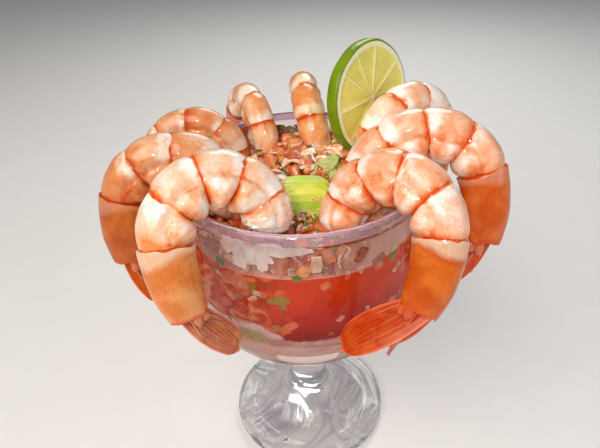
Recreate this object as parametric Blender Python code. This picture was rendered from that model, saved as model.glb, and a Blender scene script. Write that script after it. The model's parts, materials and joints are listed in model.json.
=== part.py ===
# Prawn cocktail served in a stemmed glass bowl, with eight prawns hooked over the rim,
# a lime slice and a fan of avocado. Metres, +Z up, origin at the middle of the foot's underside.
import math

import bmesh
import bpy
from mathutils import Matrix, Vector

# Glass
GLASS_HEIGHT = 0.168
FOOT_RADIUS = 0.0436
FOOT_EDGE = 0.0055
STEM_RADIUS = 0.010
STEM_FOOT_TOP = 0.026
BOWL_BASE = 0.0730
BOWL_WAIST = 0.127
BOWL_RADIUS = 0.058
BOWL_SQUARENESS = 2.75
RIM_RADIUS = 0.0575
RIM_BEAD_HEIGHT = 0.0065
WELL_BASE = 0.0850
WELL_WAIST = 0.130
WELL_RADIUS = 0.054
WELL_SQUARENESS = 2.4
GLASS_SEGMENTS = 32

# Salsa and sauce
GAP = 0.0003
MIX_WALL_LEVEL = 0.1460
MIX_BACK_RISE = 0.0100
MIX_CROWN = 0.0065
MIX_FLAT = 0.35
MIX_LUMP = 0.0010
MIX_SEGMENTS = 26

# Prawns: every one hooks over the rim, head end in the salsa and tail outside.
# bearing: where it crosses the rim, heading: way the tail points, lean: tilt of the curl's plane,
# hook: share of the body inside, curl: turn from end to end, tighten: more curl at the tail,
# height: middle of the body above the foot where it crosses, sway: sideways bend.
# fan, tuck and spread: the tail fan's size, how far it folds to the belly and how far it opens.
PRAWNS = {
    "prawn_1": dict(bearing=232, heading=209, lean=-36, hook=0.39, curl=216, tighten=-0.15, sway=40,
                    length=0.096, height=0.1855, girth=1.03, fan=0.90, tuck=0, spread=0.7),
    "prawn_2": dict(bearing=196, heading=190, lean=-8, hook=0.43, curl=208, tighten=0.05, sway=-1,
                    length=0.100, height=0.1805, girth=0.98, fan=0.80, tuck=-8, spread=0.6),
    "prawn_3": dict(bearing=154, heading=180, lean=-5, hook=0.40, curl=216, tighten=-0.20, sway=1,
                    length=0.092, height=0.1770, girth=0.78, fan=0.80, tuck=-22, spread=0.7),
    "prawn_4": dict(bearing=116, heading=114, lean=-2, hook=0.46, curl=207, tighten=0.05, sway=-2,
                    length=0.096, height=0.1770, girth=0.77, fan=0.88, tuck=-8, spread=0.9),
    "prawn_5": dict(bearing=86, heading=93, lean=12, hook=0.47, curl=200, tighten=0.05, sway=2,
                    length=0.099, height=0.1785, girth=0.85, fan=0.90, tuck=-8, spread=1.0),
    "prawn_6": dict(bearing=25, heading=33, lean=1, hook=0.34, curl=201, tighten=-0.25, sway=0,
                    length=0.098, height=0.1825, girth=0.95, fan=0.85, tuck=-15, spread=0.8),
    "prawn_7": dict(bearing=-5, heading=-7, lean=17, hook=0.43, curl=184, tighten=0.40, sway=6,
                    length=0.109, height=0.1810, girth=0.95, fan=0.74, tuck=4, spread=0.65),
    "prawn_8": dict(bearing=-46, heading=-41, lean=27, hook=0.42, curl=210, tighten=0.05, sway=-1,
                    length=0.097, height=0.1800, girth=1.02, fan=1.18, tuck=6, spread=0.7),
}
RIM_CROSSING = 0.056
WIDTH_TO_DEPTH = 0.80
SEGMENT_BOUNDS = (0.0, 0.13, 0.27, 0.41, 0.55, 0.70, 1.0)
SHELL_START = 0.70
GROOVE_DEPTH = 0.09
SHELL_STEP = 0.0004
PRAWN_SIDES = 10
CURVE_STEPS = 120
# Half the body's depth as a share of its length, from the head end to the tail
BODY_TAPER = ((0.0, 0.080), (0.05, 0.100), (0.20, 0.116), (0.40, 0.120),
              (0.60, 0.114), (0.73, 0.105), (0.88, 0.096), (1.0, 0.077))

# Tail fan: one telson and two blades on each side.
# droop turns a blade to the belly, splay turns it outwards, roll is the tilt of its flat side.
FAN_BLADES = {
    "telson": dict(length=0.019, width=0.0075, thickness=0.0034, droop=0, splay=0, roll=90, point=0.25),
    "outer": dict(length=0.029, width=0.0138, thickness=0.0024, droop=21, splay=18, roll=28, point=0.55),
    "inner": dict(length=0.030, width=0.0122, thickness=0.0022, droop=28, splay=8, roll=12, point=0.50),
}
BLADE_ROOT = 0.007

# Lime slice
LIME_CENTRE = Vector((0.034, 0.032, 0.184))
LIME_RADIUS = 0.027
LIME_THICKNESS = 0.006
LIME_TURN = 45
LIME_TILT = 9
LIME_SEGMENTS = 30

# Avocado fan
AVOCADO_COUNT = 5
AVOCADO_PITCH = 0.0047
AVOCADO_FRONT = Vector((0.0008, -0.0250, 0.1497))
AVOCADO_LEAN = 38
AVOCADO_THICKNESS = 0.0032
AVOCADO_LENGTH = 0.029
AVOCADO_HEIGHT = 0.0115
AVOCADO_DROP = 0.88
AVOCADO_STEPS = 8


def clear_scene():
    for item in list(bpy.data.objects):
        bpy.data.objects.remove(item, do_unlink=True)


def make_material(name, colour, roughness, metallic=0.0, transmission=0.0):
    material = bpy.data.materials.new(name)
    material.use_nodes = True
    shader = material.node_tree.nodes["Principled BSDF"]
    shader.inputs["Base Color"].default_value = (*colour, 1.0)
    shader.inputs["Roughness"].default_value = roughness
    shader.inputs["Metallic"].default_value = metallic
    shader.inputs["Transmission Weight"].default_value = transmission
    material.diffuse_color = (*colour, 1.0)
    return material


def add_object(name, shape, material=None):
    mesh = bpy.data.meshes.new(name)
    bmesh.ops.recalc_face_normals(shape, faces=shape.faces)
    shape.to_mesh(mesh)
    shape.free()
    mesh.shade_smooth()
    mesh.set_sharp_from_angle(angle=math.radians(40))
    item = bpy.data.objects.new(name, mesh)
    if material is not None:
        mesh.materials.append(material)
    bpy.context.scene.collection.objects.link(item)
    return item


def combine(item, others, operation, solver="EXACT"):
    """Joins the others to the item, or cuts them from it, and removes them."""
    for other in others:
        modifier = item.modifiers.new(operation.title(), "BOOLEAN")
        modifier.operation = operation
        modifier.solver = solver
        modifier.object = other
    graph = bpy.context.evaluated_depsgraph_get()
    mesh = bpy.data.meshes.new_from_object(item.evaluated_get(graph))
    item.modifiers.clear()
    item.data = mesh
    for other in others:
        bpy.data.objects.remove(other, do_unlink=True)


def clean(item, distance):
    shape = bmesh.new()
    shape.from_mesh(item.data)
    bmesh.ops.remove_doubles(shape, verts=shape.verts, dist=distance)
    bmesh.ops.dissolve_degenerate(shape, edges=shape.edges, dist=distance)
    bmesh.ops.triangulate(shape, faces=[face for face in shape.faces if len(face.verts) > 4])
    shape.to_mesh(item.data)
    shape.free()


def keep_outer_shell(item):
    """Drops the small closed pockets that a union can leave inside."""
    shape = bmesh.new()
    shape.from_mesh(item.data)
    shells = []
    unseen = set(shape.faces)
    while unseen:
        shell = [unseen.pop()]
        for face in shell:
            for edge in face.edges:
                for other in edge.link_faces:
                    if other in unseen:
                        unseen.remove(other)
                        shell.append(other)
        shells.append(shell)
    shells.sort(key=len)
    for shell in shells[:-1]:
        bmesh.ops.delete(shape, geom=shell, context="FACES")
    shape.to_mesh(item.data)
    shape.free()


def between(points, value):
    """Reads a line through (place, size) points at a place."""
    for (start, low), (end, high) in zip(points, points[1:]):
        if value <= end:
            return low + (high - low) * (value - start) / (end - start)
    return points[-1][1]


def ease(value):
    value = min(max(value, 0.0), 1.0)
    return value * value * (3.0 - 2.0 * value)


def squarish(radius, depth, power):
    """Radius of a rounded bowl at a depth from 0, its widest, to 1, its bottom."""
    return radius * max(1.0 - depth ** power, 0.0) ** (1.0 / power)


def turned(profile, segments):
    """Spins a profile of (radius, height) pairs, both ends on the axis, into a closed shape."""
    shape = bmesh.new()
    verts = [shape.verts.new((radius, 0.0, height)) for radius, height in profile]
    edges = [shape.edges.new(pair) for pair in zip(verts, verts[1:])]
    bmesh.ops.spin(shape, geom=verts + edges, axis=(0, 0, 1), cent=(0, 0, 0), steps=segments,
                   angle=2 * math.pi, use_merge=True)
    bmesh.ops.remove_doubles(shape, verts=shape.verts, dist=0.00002)
    return shape


def well_profile(offset=0.0, steps=6):
    """Inside of the bowl from its bottom to the start of its straight wall."""
    depth = WELL_WAIST - WELL_BASE
    points = []
    for step in range(steps + 1):
        turn = step / steps * math.pi / 2
        down = math.cos(turn) ** (2.0 / WELL_SQUARENESS)
        radius = squarish(WELL_RADIUS, down, WELL_SQUARENESS)
        points.append((max(radius - offset * math.sin(turn), 0.0),
                       WELL_WAIST - depth * down + offset * math.cos(turn)))
    return points


def build_glass(material):
    points = [(0.0, 0.0), (FOOT_RADIUS - 0.0016, 0.0)]
    points += [(FOOT_RADIUS - 0.0004, 0.0006), (FOOT_RADIUS, 0.0022), (FOOT_RADIUS, FOOT_EDGE - 0.0018)]
    points += [(FOOT_RADIUS - 0.0008, FOOT_EDGE - 0.0004), (FOOT_RADIUS - 0.0030, FOOT_EDGE + 0.0006)]
    rise = STEM_FOOT_TOP - FOOT_EDGE
    for share in (0.28, 0.58, 0.82, 0.95):
        radius = FOOT_RADIUS + (STEM_RADIUS - FOOT_RADIUS) * share
        points.append((radius, FOOT_EDGE + rise * (0.25 * share + 0.75 * share ** 3.2)))
    points += [(STEM_RADIUS, STEM_FOOT_TOP + 0.004), (STEM_RADIUS * 0.94, 0.050)]
    points += [(STEM_RADIUS, BOWL_BASE - 0.0060), (STEM_RADIUS + 0.0024, BOWL_BASE - 0.0010)]
    depth = BOWL_WAIST - BOWL_BASE
    for down in (0.975, 0.92, 0.82, 0.66, 0.44, 0.0):
        points.append((squarish(BOWL_RADIUS, down, BOWL_SQUARENESS), BOWL_WAIST - depth * down))
    bead = RIM_BEAD_HEIGHT / 2
    middle = (RIM_RADIUS + WELL_RADIUS - 0.0006) / 2
    half = RIM_RADIUS - middle
    points.append((RIM_RADIUS - 0.0006, GLASS_HEIGHT - 2.25 * bead))
    for angle in (-20, 30, 75, 115, 160):
        turn = math.radians(angle)
        points.append((middle + half * math.cos(turn), GLASS_HEIGHT - bead + bead * math.sin(turn)))
    points.append((WELL_RADIUS, GLASS_HEIGHT - 1.7 * bead))
    points += reversed(well_profile())
    points[-1] = (0.0, WELL_BASE)
    return add_object("glass", turned(points, GLASS_SEGMENTS), material)


def mix_height(x, y):
    """Top of the salsa: level at the front wall, heaped in the middle and towards the back."""
    radius = math.hypot(x, y) / WELL_RADIUS
    heap = MIX_CROWN * (1.0 - ease((radius - MIX_FLAT) / (1.0 - MIX_FLAT)))
    back = MIX_BACK_RISE * ease(0.5 + 0.5 * y / WELL_RADIUS)
    lumps = math.sin(x * 410 + 1.3) * math.cos(y * 370) + math.sin((x + y) * 290)
    return MIX_WALL_LEVEL + heap + back + MIX_LUMP * lumps * (1.0 - 0.5 * radius)


def build_mix(material, cutters):
    wall = WELL_RADIUS - GAP
    profile = well_profile(offset=GAP, steps=6)
    profile[0] = (0.0, WELL_BASE + GAP)
    profile[-1] = (wall, WELL_WAIST)
    profile += [(wall, MIX_WALL_LEVEL)]
    profile += [(wall * share, MIX_WALL_LEVEL) for share in (0.86, 0.68, 0.50, 0.32, 0.15)]
    profile.append((0.0, MIX_WALL_LEVEL))
    shape = turned(profile, MIX_SEGMENTS)
    for vert in shape.verts:
        if vert.co.z > MIX_WALL_LEVEL - 0.0001:
            vert.co.z = mix_height(vert.co.x, vert.co.y)
    item = add_object("cocktail_mix", shape, material)
    combine(item, cutters, "DIFFERENCE", solver="MANIFOLD")
    clean(item, 0.000001)
    return item


def prawn_path(values):
    """Middle, tangent, back and side directions of a prawn at even steps along its body."""
    count = CURVE_STEPS + 1
    weights = []
    for step in range(count):
        place = step / CURVE_STEPS
        stiff = 1.0 - 0.7 * ease((place - 0.66) / 0.10)
        weights.append((1.0 + values["tighten"] * (2 * place - 1)) * stiff)
    turned_by = [0.0]
    for first, second in zip(weights, weights[1:]):
        turned_by.append(turned_by[-1] + (first + second) / 2)
    total = turned_by[-1]
    hook = values["hook"]
    hook_step = hook * CURVE_STEPS
    low = int(hook_step)
    at_hook = turned_by[low] + (turned_by[low + 1] - turned_by[low]) * (hook_step - low)
    heading = math.radians(values["heading"])
    lean = math.radians(values["lean"])
    out = Vector((math.cos(heading), math.sin(heading), 0.0))
    aside = Vector((-math.sin(heading), math.cos(heading), 0.0))
    up = Vector((0, 0, 1)) * math.cos(lean) + aside * math.sin(lean)
    side = out.cross(up)
    frames = []
    middle = Vector((0, 0, 0))
    previous = None
    for step in range(count):
        angle = math.radians(values["curl"]) * (at_hook - turned_by[step]) / total
        sway = math.radians(values["sway"]) * (step / CURVE_STEPS - hook)
        along = out * math.cos(angle) + up * math.sin(angle)
        back = up * math.cos(angle) - out * math.sin(angle)
        tangent = along * math.cos(sway) + side * math.sin(sway)
        if previous is not None:
            middle = middle + (previous + tangent) / 2 * (values["length"] / CURVE_STEPS)
        previous = tangent
        frames.append((middle.copy(), tangent, back, tangent.cross(back)))
    bearing = math.radians(values["bearing"])
    anchor = Vector((RIM_CROSSING * math.cos(bearing), RIM_CROSSING * math.sin(bearing), values["height"]))
    crossing = frames[low][0].lerp(frames[low + 1][0], hook_step - low)
    return [(point - crossing + anchor, *rest) for point, *rest in frames]


def frame_at(path, place):
    step = min(max(place, 0.0), 1.0) * CURVE_STEPS
    low = min(int(step), CURVE_STEPS - 1)
    share = step - low
    return [first.lerp(second, share) for first, second in zip(path[low], path[low + 1])]


def ring(shape, centre, back, side, half_depth, half_width):
    verts = []
    for step in range(PRAWN_SIDES):
        turn = 2 * math.pi * step / PRAWN_SIDES
        verts.append(shape.verts.new(centre + back * half_depth * math.cos(turn)
                                     + side * half_width * math.sin(turn)))
    return verts


def loft(shape, rings):
    for first, second in zip(rings, rings[1:]):
        count = len(first)
        for step in range(count):
            following = (step + 1) % count
            shape.faces.new((first[step], first[following], second[following], second[step]))
    shape.faces.new(rings[0][::-1])
    shape.faces.new(rings[-1])


def body_stations():
    """Places along the body and how full each is: a groove between segments, a swell within."""
    stations = [(0.003, 0.62), (0.02, 0.88)]
    for start, end in zip(SEGMENT_BOUNDS[:-1], SEGMENT_BOUNDS[1:]):
        size = end - start
        if start > 0.0:
            stations.append((start, 1.0 - GROOVE_DEPTH))
        stations.append((start + 0.45 * size, 1.0))
    stations.append((1.0, 1.0))
    return stations


def prawn_body(values, grow=0.0):
    path = prawn_path(values)
    shape = bmesh.new()
    rings = []
    for place, fullness in body_stations():
        middle, tangent, back, side = frame_at(path, place)
        depth = between(BODY_TAPER, place) * values["length"] * values["girth"] * fullness
        if place >= SHELL_START:
            depth += SHELL_STEP
        depth += grow
        if place < 0.01:
            middle = middle - tangent * grow
        rings.append(ring(shape, middle, back, side, depth, depth * WIDTH_TO_DEPTH))
    loft(shape, rings)
    return shape


def fan_blade(values, blade, hand):
    """One flat blade of the tail, rooted inside the last segment."""
    middle, tangent, back, side = frame_at(prawn_path(values), 1.0)
    side = side * hand
    droop = blade["droop"] + (values["tuck"] if blade["splay"] else 0)
    turn = Matrix.Rotation(math.radians(droop), 3, back.cross(tangent))
    along = turn @ tangent
    flat = turn @ back
    spread = Matrix.Rotation(math.radians(blade["splay"] * values["spread"]), 3, along.cross(side))
    along = spread @ along
    side = spread @ side
    roll = math.radians(blade["roll"])
    across = flat * math.cos(roll) + side * math.sin(roll)
    normal = side * math.cos(roll) - flat * math.sin(roll)
    size = values["fan"]
    shape = bmesh.new()
    rings = []
    for share, wide, thick in ((0.0, 0.65, 1.3), (0.48, 1.0, 1.1), (0.82, 0.9, 0.9), (1.0, blade["point"], 0.6)):
        centre = middle - along * BLADE_ROOT + along * (BLADE_ROOT + blade["length"] * size) * share
        half = blade["width"] * size * wide / 2
        deep = blade["thickness"] * thick / 2
        corners = ((-1.0, 0.0), (0.0, 1.0), (1.0, 0.0), (0.0, -1.0))
        rings.append([shape.verts.new(centre + across * half * x + normal * deep * y) for x, y in corners])
    loft(shape, rings)
    return shape


def build_prawn(name, values, material):
    item = add_object(name, prawn_body(values), material)
    blades = [add_object("blade", fan_blade(values, FAN_BLADES["telson"], 1))]
    for hand in (1, -1):
        for kind in ("outer", "inner"):
            blades.append(add_object("blade", fan_blade(values, FAN_BLADES[kind], hand)))
    # The blades cross each other's thin edges, which only this solver joins cleanly.
    combine(item, blades, "UNION", solver="MANIFOLD")
    keep_outer_shell(item)
    item.data.materials.clear()
    item.data.materials.append(material)
    return item


def lime_shape(grow=0.0):
    radius = LIME_RADIUS + grow
    half = LIME_THICKNESS / 2 + grow
    edge = 0.0008
    profile = [(0.0, -half), (radius - edge, -half), (radius, -half + edge),
               (radius, half - edge), (radius - edge, half), (0.0, half)]
    shape = turned(profile, LIME_SEGMENTS)
    stand = Matrix.Rotation(math.radians(LIME_TURN), 4, "Z") @ Matrix.Rotation(math.radians(90 - LIME_TILT), 4, "X")
    bmesh.ops.transform(shape, matrix=Matrix.Translation(LIME_CENTRE) @ stand, verts=shape.verts)
    return shape


def rim_slot():
    """Ring a little larger than the glass rim, for the slot that sits the lime on it."""
    inner = WELL_RADIUS - 0.0006 - GAP
    outer = RIM_RADIUS + GAP
    profile = [(inner, WELL_WAIST), (outer, WELL_WAIST), (outer, GLASS_HEIGHT + GAP), (inner, GLASS_HEIGHT + GAP)]
    shape = bmesh.new()
    verts = [shape.verts.new((radius, 0.0, height)) for radius, height in profile]
    edges = [shape.edges.new((verts[step - 1], verts[step])) for step in range(len(verts))]
    bmesh.ops.spin(shape, geom=verts + edges, axis=(0, 0, 1), cent=(0, 0, 0), steps=GLASS_SEGMENTS,
                   angle=2 * math.pi, use_merge=True)
    bmesh.ops.remove_doubles(shape, verts=shape.verts, dist=0.00002)
    return shape


def avocado_shape(index, grow=0.0):
    """One crescent slice, leaning back on the slice behind it."""
    shape = bmesh.new()
    shrink = 1.0 - 0.10 * abs(index - 2.2) / 2.2
    half_length = AVOCADO_LENGTH / 2 * shrink + grow
    half_thick = AVOCADO_THICKNESS / 2 + grow
    outline = []
    for step in range(AVOCADO_STEPS + 1):
        share = -1.0 + 2.0 * step / AVOCADO_STEPS
        rise = AVOCADO_HEIGHT * math.sqrt(1.0 - AVOCADO_DROP * share ** 4)
        outline.append((share * half_length, rise + grow))
    outline += [(half_length * 0.72, -grow), (-half_length * 0.72, -grow)]
    front = [shape.verts.new((x, -half_thick, z)) for x, z in outline]
    face = shape.faces.new(front)
    moved = bmesh.ops.extrude_face_region(shape, geom=[face])
    verts = [part for part in moved["geom"] if isinstance(part, bmesh.types.BMVert)]
    bmesh.ops.translate(shape, vec=(0, 2 * half_thick, 0), verts=verts)
    place = AVOCADO_FRONT + Vector((0.0006 * math.sin(index * 2.1), AVOCADO_PITCH * index, 0.0004 * index))
    lean = Matrix.Rotation(math.radians(-AVOCADO_LEAN), 4, "X")
    bmesh.ops.transform(shape, matrix=Matrix.Translation(place) @ lean, verts=shape.verts)
    return shape


def main():
    clear_scene()
    glass = make_material("clear_glass", (0.86, 0.84, 0.88), 0.03, transmission=0.9)
    salsa = make_material("salsa", (0.55, 0.09, 0.02), 0.35)
    prawn = make_material("prawn", (0.86, 0.42, 0.22), 0.35)
    lime = make_material("lime", (0.62, 0.72, 0.18), 0.35)
    avocado = make_material("avocado", (0.70, 0.76, 0.25), 0.45)

    build_glass(glass)
    cutters = []
    for name, values in PRAWNS.items():
        build_prawn(name, values, prawn)
        cutters.append(add_object("cutter", prawn_body(values, grow=GAP)))
    slice_item = add_object("lime_slice", lime_shape(), lime)
    combine(slice_item, [add_object("cutter", rim_slot())], "DIFFERENCE")
    cutters.append(add_object("cutter", lime_shape(grow=GAP)))
    for index in range(AVOCADO_COUNT):
        add_object(f"avocado_{index + 1}", avocado_shape(index), avocado)
        cutters.append(add_object("cutter", avocado_shape(index, grow=GAP)))
    build_mix(salsa, cutters)


main()
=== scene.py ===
# Prawn cocktail in a stemmed glass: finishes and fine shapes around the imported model.
# Metres, +Z up, the foot of the glass on z = 0 at the origin.
import json
import math
import random

import bmesh
import bpy
from mathutils import Euler, Matrix, Vector, noise
from mathutils.bvhtree import BVHTree

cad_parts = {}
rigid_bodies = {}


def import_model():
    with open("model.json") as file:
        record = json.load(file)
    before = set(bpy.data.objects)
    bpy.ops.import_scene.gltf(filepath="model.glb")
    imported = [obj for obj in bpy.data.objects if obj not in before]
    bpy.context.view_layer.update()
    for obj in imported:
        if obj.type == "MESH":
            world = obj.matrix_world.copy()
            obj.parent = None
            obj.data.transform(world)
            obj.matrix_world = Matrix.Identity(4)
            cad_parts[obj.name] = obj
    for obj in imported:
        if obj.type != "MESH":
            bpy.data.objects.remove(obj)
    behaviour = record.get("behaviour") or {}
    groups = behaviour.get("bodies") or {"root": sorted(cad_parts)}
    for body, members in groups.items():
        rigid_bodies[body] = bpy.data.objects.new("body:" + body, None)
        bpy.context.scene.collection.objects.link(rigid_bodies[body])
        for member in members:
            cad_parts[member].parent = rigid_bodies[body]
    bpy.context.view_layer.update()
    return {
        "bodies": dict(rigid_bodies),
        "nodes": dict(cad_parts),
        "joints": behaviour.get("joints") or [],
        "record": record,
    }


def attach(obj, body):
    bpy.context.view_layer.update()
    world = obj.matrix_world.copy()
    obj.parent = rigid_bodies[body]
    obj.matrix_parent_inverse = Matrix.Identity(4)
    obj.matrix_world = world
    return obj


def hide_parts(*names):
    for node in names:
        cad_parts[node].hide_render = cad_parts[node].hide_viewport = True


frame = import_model()
noise.seed_set(11)   # without it every run would have other knuckles and dice


# ---- materials: a wire is one output of a node, and sums on it add Math nodes

def linear(colour):
    # "#rrggbb" as the linear values that a shader takes
    parts = [int(colour[start:start + 2], 16) / 255 for start in (1, 3, 5)]
    return (*(part / 12.92 if part <= 0.04045 else ((part + 0.055) / 1.055) ** 2.4 for part in parts), 1.0)


class Wire:
    def __init__(self, paint, socket):
        self.paint = paint
        self.socket = socket

    def __add__(self, other):
        return self.paint.sum("ADD", self, other)

    def __radd__(self, other):
        return self.paint.sum("ADD", other, self)

    def __sub__(self, other):
        return self.paint.sum("SUBTRACT", self, other)

    def __rsub__(self, other):
        return self.paint.sum("SUBTRACT", other, self)

    def __mul__(self, other):
        return self.paint.sum("MULTIPLY", self, other)

    def __rmul__(self, other):
        return self.paint.sum("MULTIPLY", other, self)

    def __truediv__(self, other):
        return self.paint.sum("DIVIDE", self, other)

    def max(self, other):
        return self.paint.sum("MAXIMUM", self, other)

    def __abs__(self):
        return self.paint.sum("ABSOLUTE", self)

    def clamp(self):
        return self.paint.node("ShaderNodeClamp", {}, {"Value": self})

    def step(self, low, high):
        # 0 below low, 1 above high and smooth between, also with low above high
        ends = {"Value": self, "From Min": min(low, high), "From Max": max(low, high)}
        ends.update({"To Min": float(low > high), "To Max": float(low <= high)})
        return self.paint.node("ShaderNodeMapRange", {"interpolation_type": "SMOOTHSTEP"}, ends)


class Paint:
    # One material with one Principled shader. The finish is what is the same all over.
    def __init__(self, name, finish):
        self.material = bpy.data.materials.new(name)
        self.material.use_nodes = True
        self.tree = self.material.node_tree
        self.shader = self.tree.nodes["Principled BSDF"]
        for socket, value in finish.items():
            self.shader.inputs[socket].default_value = value

    def node(self, kind, settings, inputs, output=0):
        made = self.tree.nodes.new(kind)
        for name, value in settings.items():
            if name == "stops":
                self.setStops(made.color_ramp, value)
            else:
                setattr(made, name, value)
        for name, value in inputs.items():
            self.feed(made.inputs[name], value)
        return Wire(self, made.outputs[output])

    def setStops(self, ramp, stops):
        while len(ramp.elements) < len(stops):
            ramp.elements.new(1.0)
        for element, (place, value) in zip(ramp.elements, stops):
            element.position = place
            element.color = linear(value) if isinstance(value, str) else (value, value, value, 1.0)

    def feed(self, socket, value):
        if isinstance(value, Wire):
            self.tree.links.new(value.socket, socket)
        else:
            socket.default_value = linear(value) if isinstance(value, str) else value

    def set(self, **values):
        # the word for a socket of the shader is its name without the space
        for word, value in values.items():
            name = {"colour": "Base Color", "coat": "Coat Weight"}.get(word, word.capitalize())
            self.feed(self.shader.inputs[name], value)

    def sum(self, operation, *values):
        return self.node("ShaderNodeMath", {"operation": operation}, dict(enumerate(values)))

    def mix(self, factor, first, second):
        return self.node("ShaderNodeMix", {"data_type": "RGBA"}, {0: factor, 6: first, 7: second}, 2)

    def layers(self, colour, *coats):
        # each coat is how much of it shows, and its colour
        for factor, over in coats:
            colour = self.mix(factor, colour, over)
        return colour

    def ramp(self, value, stops):
        return self.node("ShaderNodeValToRGB", {"stops": stops}, {"Fac": value})

    def place(self, scale=(1, 1, 1), turn=(0, 0, 0), shift=(0, 0, 0)):
        # Object coordinates, moved by the shift, then turned and scaled
        coords = self.node("ShaderNodeTexCoord", {}, {}, "Object")
        inputs = {"Vector": coords, "Location": shift, "Rotation": turn, "Scale": scale}
        return self.node("ShaderNodeMapping", {}, inputs)

    def wrapPlace(self, scale=(1, 1, 1)):
        # the piece's own UV map
        coords = self.node("ShaderNodeUVMap", {"uv_map": "wrap"}, {})
        return self.node("ShaderNodeMapping", {}, {"Vector": coords, "Scale": scale})

    def axis(self, vector, name):
        return self.node("ShaderNodeSeparateXYZ", {}, {"Vector": vector}, name)

    def wrapAxes(self):
        wrap = self.wrapPlace()
        return self.axis(wrap, "X"), self.axis(wrap, "Y")

    def noise(self, vector, scale, detail=3.0, roughness=0.5, distortion=0.0):
        inputs = {"Vector": vector, "Scale": scale, "Detail": detail, "Roughness": roughness}
        return self.node("ShaderNodeTexNoise", {}, {**inputs, "Distortion": distortion})

    def cells(self, vector, scale, feature="F1"):
        inputs = {"Vector": vector, "Scale": scale}
        return self.node("ShaderNodeTexVoronoi", {"feature": feature}, inputs, "Distance")

    def bump(self, height, distance, strength=1.0):
        inputs = {"Height": height, "Distance": distance, "Strength": strength}
        self.feed(self.shader.inputs["Normal"], self.node("ShaderNodeBump", {}, inputs))


# ---- shapes

def ease(value):
    value = min(max(value, 0.0), 1.0)
    return value * value * (3.0 - 2.0 * value)


def between(points, value):
    # reads a line through (place, size) points at a place
    for (start, low), (end, high) in zip(points, points[1:]):
        if value <= end:
            return low + (high - low) * (value - start) / (end - start)
    return points[-1][1]


def hump(value, middle, width):
    return math.exp(-((value - middle) / width) ** 2)


def lump(x, y, z):
    return noise.noise(Vector((x, y, z)))


def around(turn, radius=1.0, height=0.0):
    return Vector((radius * math.cos(turn), radius * math.sin(turn), height))


def arc(middle, height, wide, tall, start, end, steps):
    # (radius, height) points on part of an ellipse
    turns = [math.radians(start + (end - start) * step / steps) for step in range(steps + 1)]
    return [(middle + wide * math.cos(turn), height + tall * math.sin(turn)) for turn in turns]


def capped(steps):
    # stations of a form that is closed flat at both ends: place and scale
    return [(0.0, 0.0), *((step / steps, 1.0) for step in range(steps + 1)), (1.0, 0.0)]


def wrapped(shape, stations, sides, place):
    # A grid wrapped round into a closed form: place(station, turn) gives a point, and the
    # station's first value and the turn are the UV map. The first and last stations close.
    layer = shape.loops.layers.uv.get("wrap") or shape.loops.layers.uv.new("wrap")
    columns = len(stations) - 1
    made = bmesh.ops.create_grid(shape, x_segments=columns, y_segments=sides, size=0.5)["verts"]
    spots = {vert: (round((vert.co.x + 0.5) * columns), round((vert.co.y + 0.5) * sides)) for vert in made}
    for face in {face for vert in made for face in vert.link_faces}:
        for loop in face.loops:
            column, row = spots[loop.vert]
            loop[layer].uv = (stations[column][0], row / sides)
    for vert, (column, row) in spots.items():
        vert.co = place(stations[column], 2 * math.pi * (row % sides) / sides)
    bmesh.ops.remove_doubles(shape, verts=made, dist=0.0000005)
    return shape


def turned(profile, segments, ring=False):
    # spins (radius, height) points into a closed form: a ring, or with both ends on the axis
    shape = bmesh.new()
    verts = [shape.verts.new((radius, 0.0, height)) for radius, height in profile]
    steps = range(0 if ring else 1, len(verts))
    edges = [shape.edges.new((verts[step - 1], verts[step])) for step in steps]
    bmesh.ops.spin(shape, geom=verts + edges, axis=(0, 0, 1), cent=(0, 0, 0), steps=segments,
                   angle=2 * math.pi, use_merge=True)
    bmesh.ops.remove_doubles(shape, verts=shape.verts, dist=0.000002)
    return shape


def meshOf(name, shape):
    mesh = bpy.data.meshes.new(name)
    shape.to_mesh(mesh)
    shape.free()
    return mesh


def linked(name, data):
    item = bpy.data.objects.new(name, data)
    bpy.context.scene.collection.objects.link(item)
    return item


def addPiece(name, shape, paints, replaced=(), sharp=50):
    bmesh.ops.recalc_face_normals(shape, faces=shape.faces)
    mesh = meshOf(name, shape)
    mesh.shade_smooth()
    mesh.set_sharp_from_angle(angle=math.radians(sharp))
    for paint in paints:
        mesh.materials.append(paint.material)
    piece = linked(name, mesh)
    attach(piece, "root")
    if replaced:
        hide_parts(*replaced)
    return piece


# ---- glass

glassSizes = {
    "height": 0.168, "footRadius": 0.0436, "footEdge": 0.0055, "stemRadius": 0.010,
    "stemFootTop": 0.026, "bowlBase": 0.0730, "bowlWaist": 0.127, "bowlRadius": 0.058,
    "bowlSquareness": 2.75, "rimRadius": 0.0575, "beadHeight": 0.0065, "wellBase": 0.0850,
    "wellWaist": 0.130, "wellRadius": 0.054, "wellSquareness": 2.4, "segments": 160,
    "ringRadius": 0.0345, "ringHeight": 0.00065, "ringWidth": 0.0012,
    "swirl": 0.0014, "swirlTwist": 60, "swirlFrom": 0.012, "swirlTop": 0.03,
}
glassFinish = {
    "levels": (0.071, 0.1085, 0.1632),   # where foot, base, wall and rim meet
    "footTint": "#ffffff", "footReflectionLines": "#e2dde8", "baseTint": "#f0ac9c", "baseLight": "#f8d2c8",
    "bowlTint": "#fbf1f2", "upperTint": "#fbe9e4", "beadTint": "#d4aac4", "beadLight": "#efd6e0",
}


def squarish(radius, depth, power):
    return radius * max(1.0 - depth ** power, 0.0) ** (1.0 / power)


def bowlCurve(radius, waist, base, power, steps):
    # from the bottom on the axis to the straight wall
    downs = [math.cos(step / steps * math.pi / 2) ** (2.0 / power) for step in range(steps + 1)]
    return [(squarish(radius, down, power), waist - (waist - base) * down) for down in downs]


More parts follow.
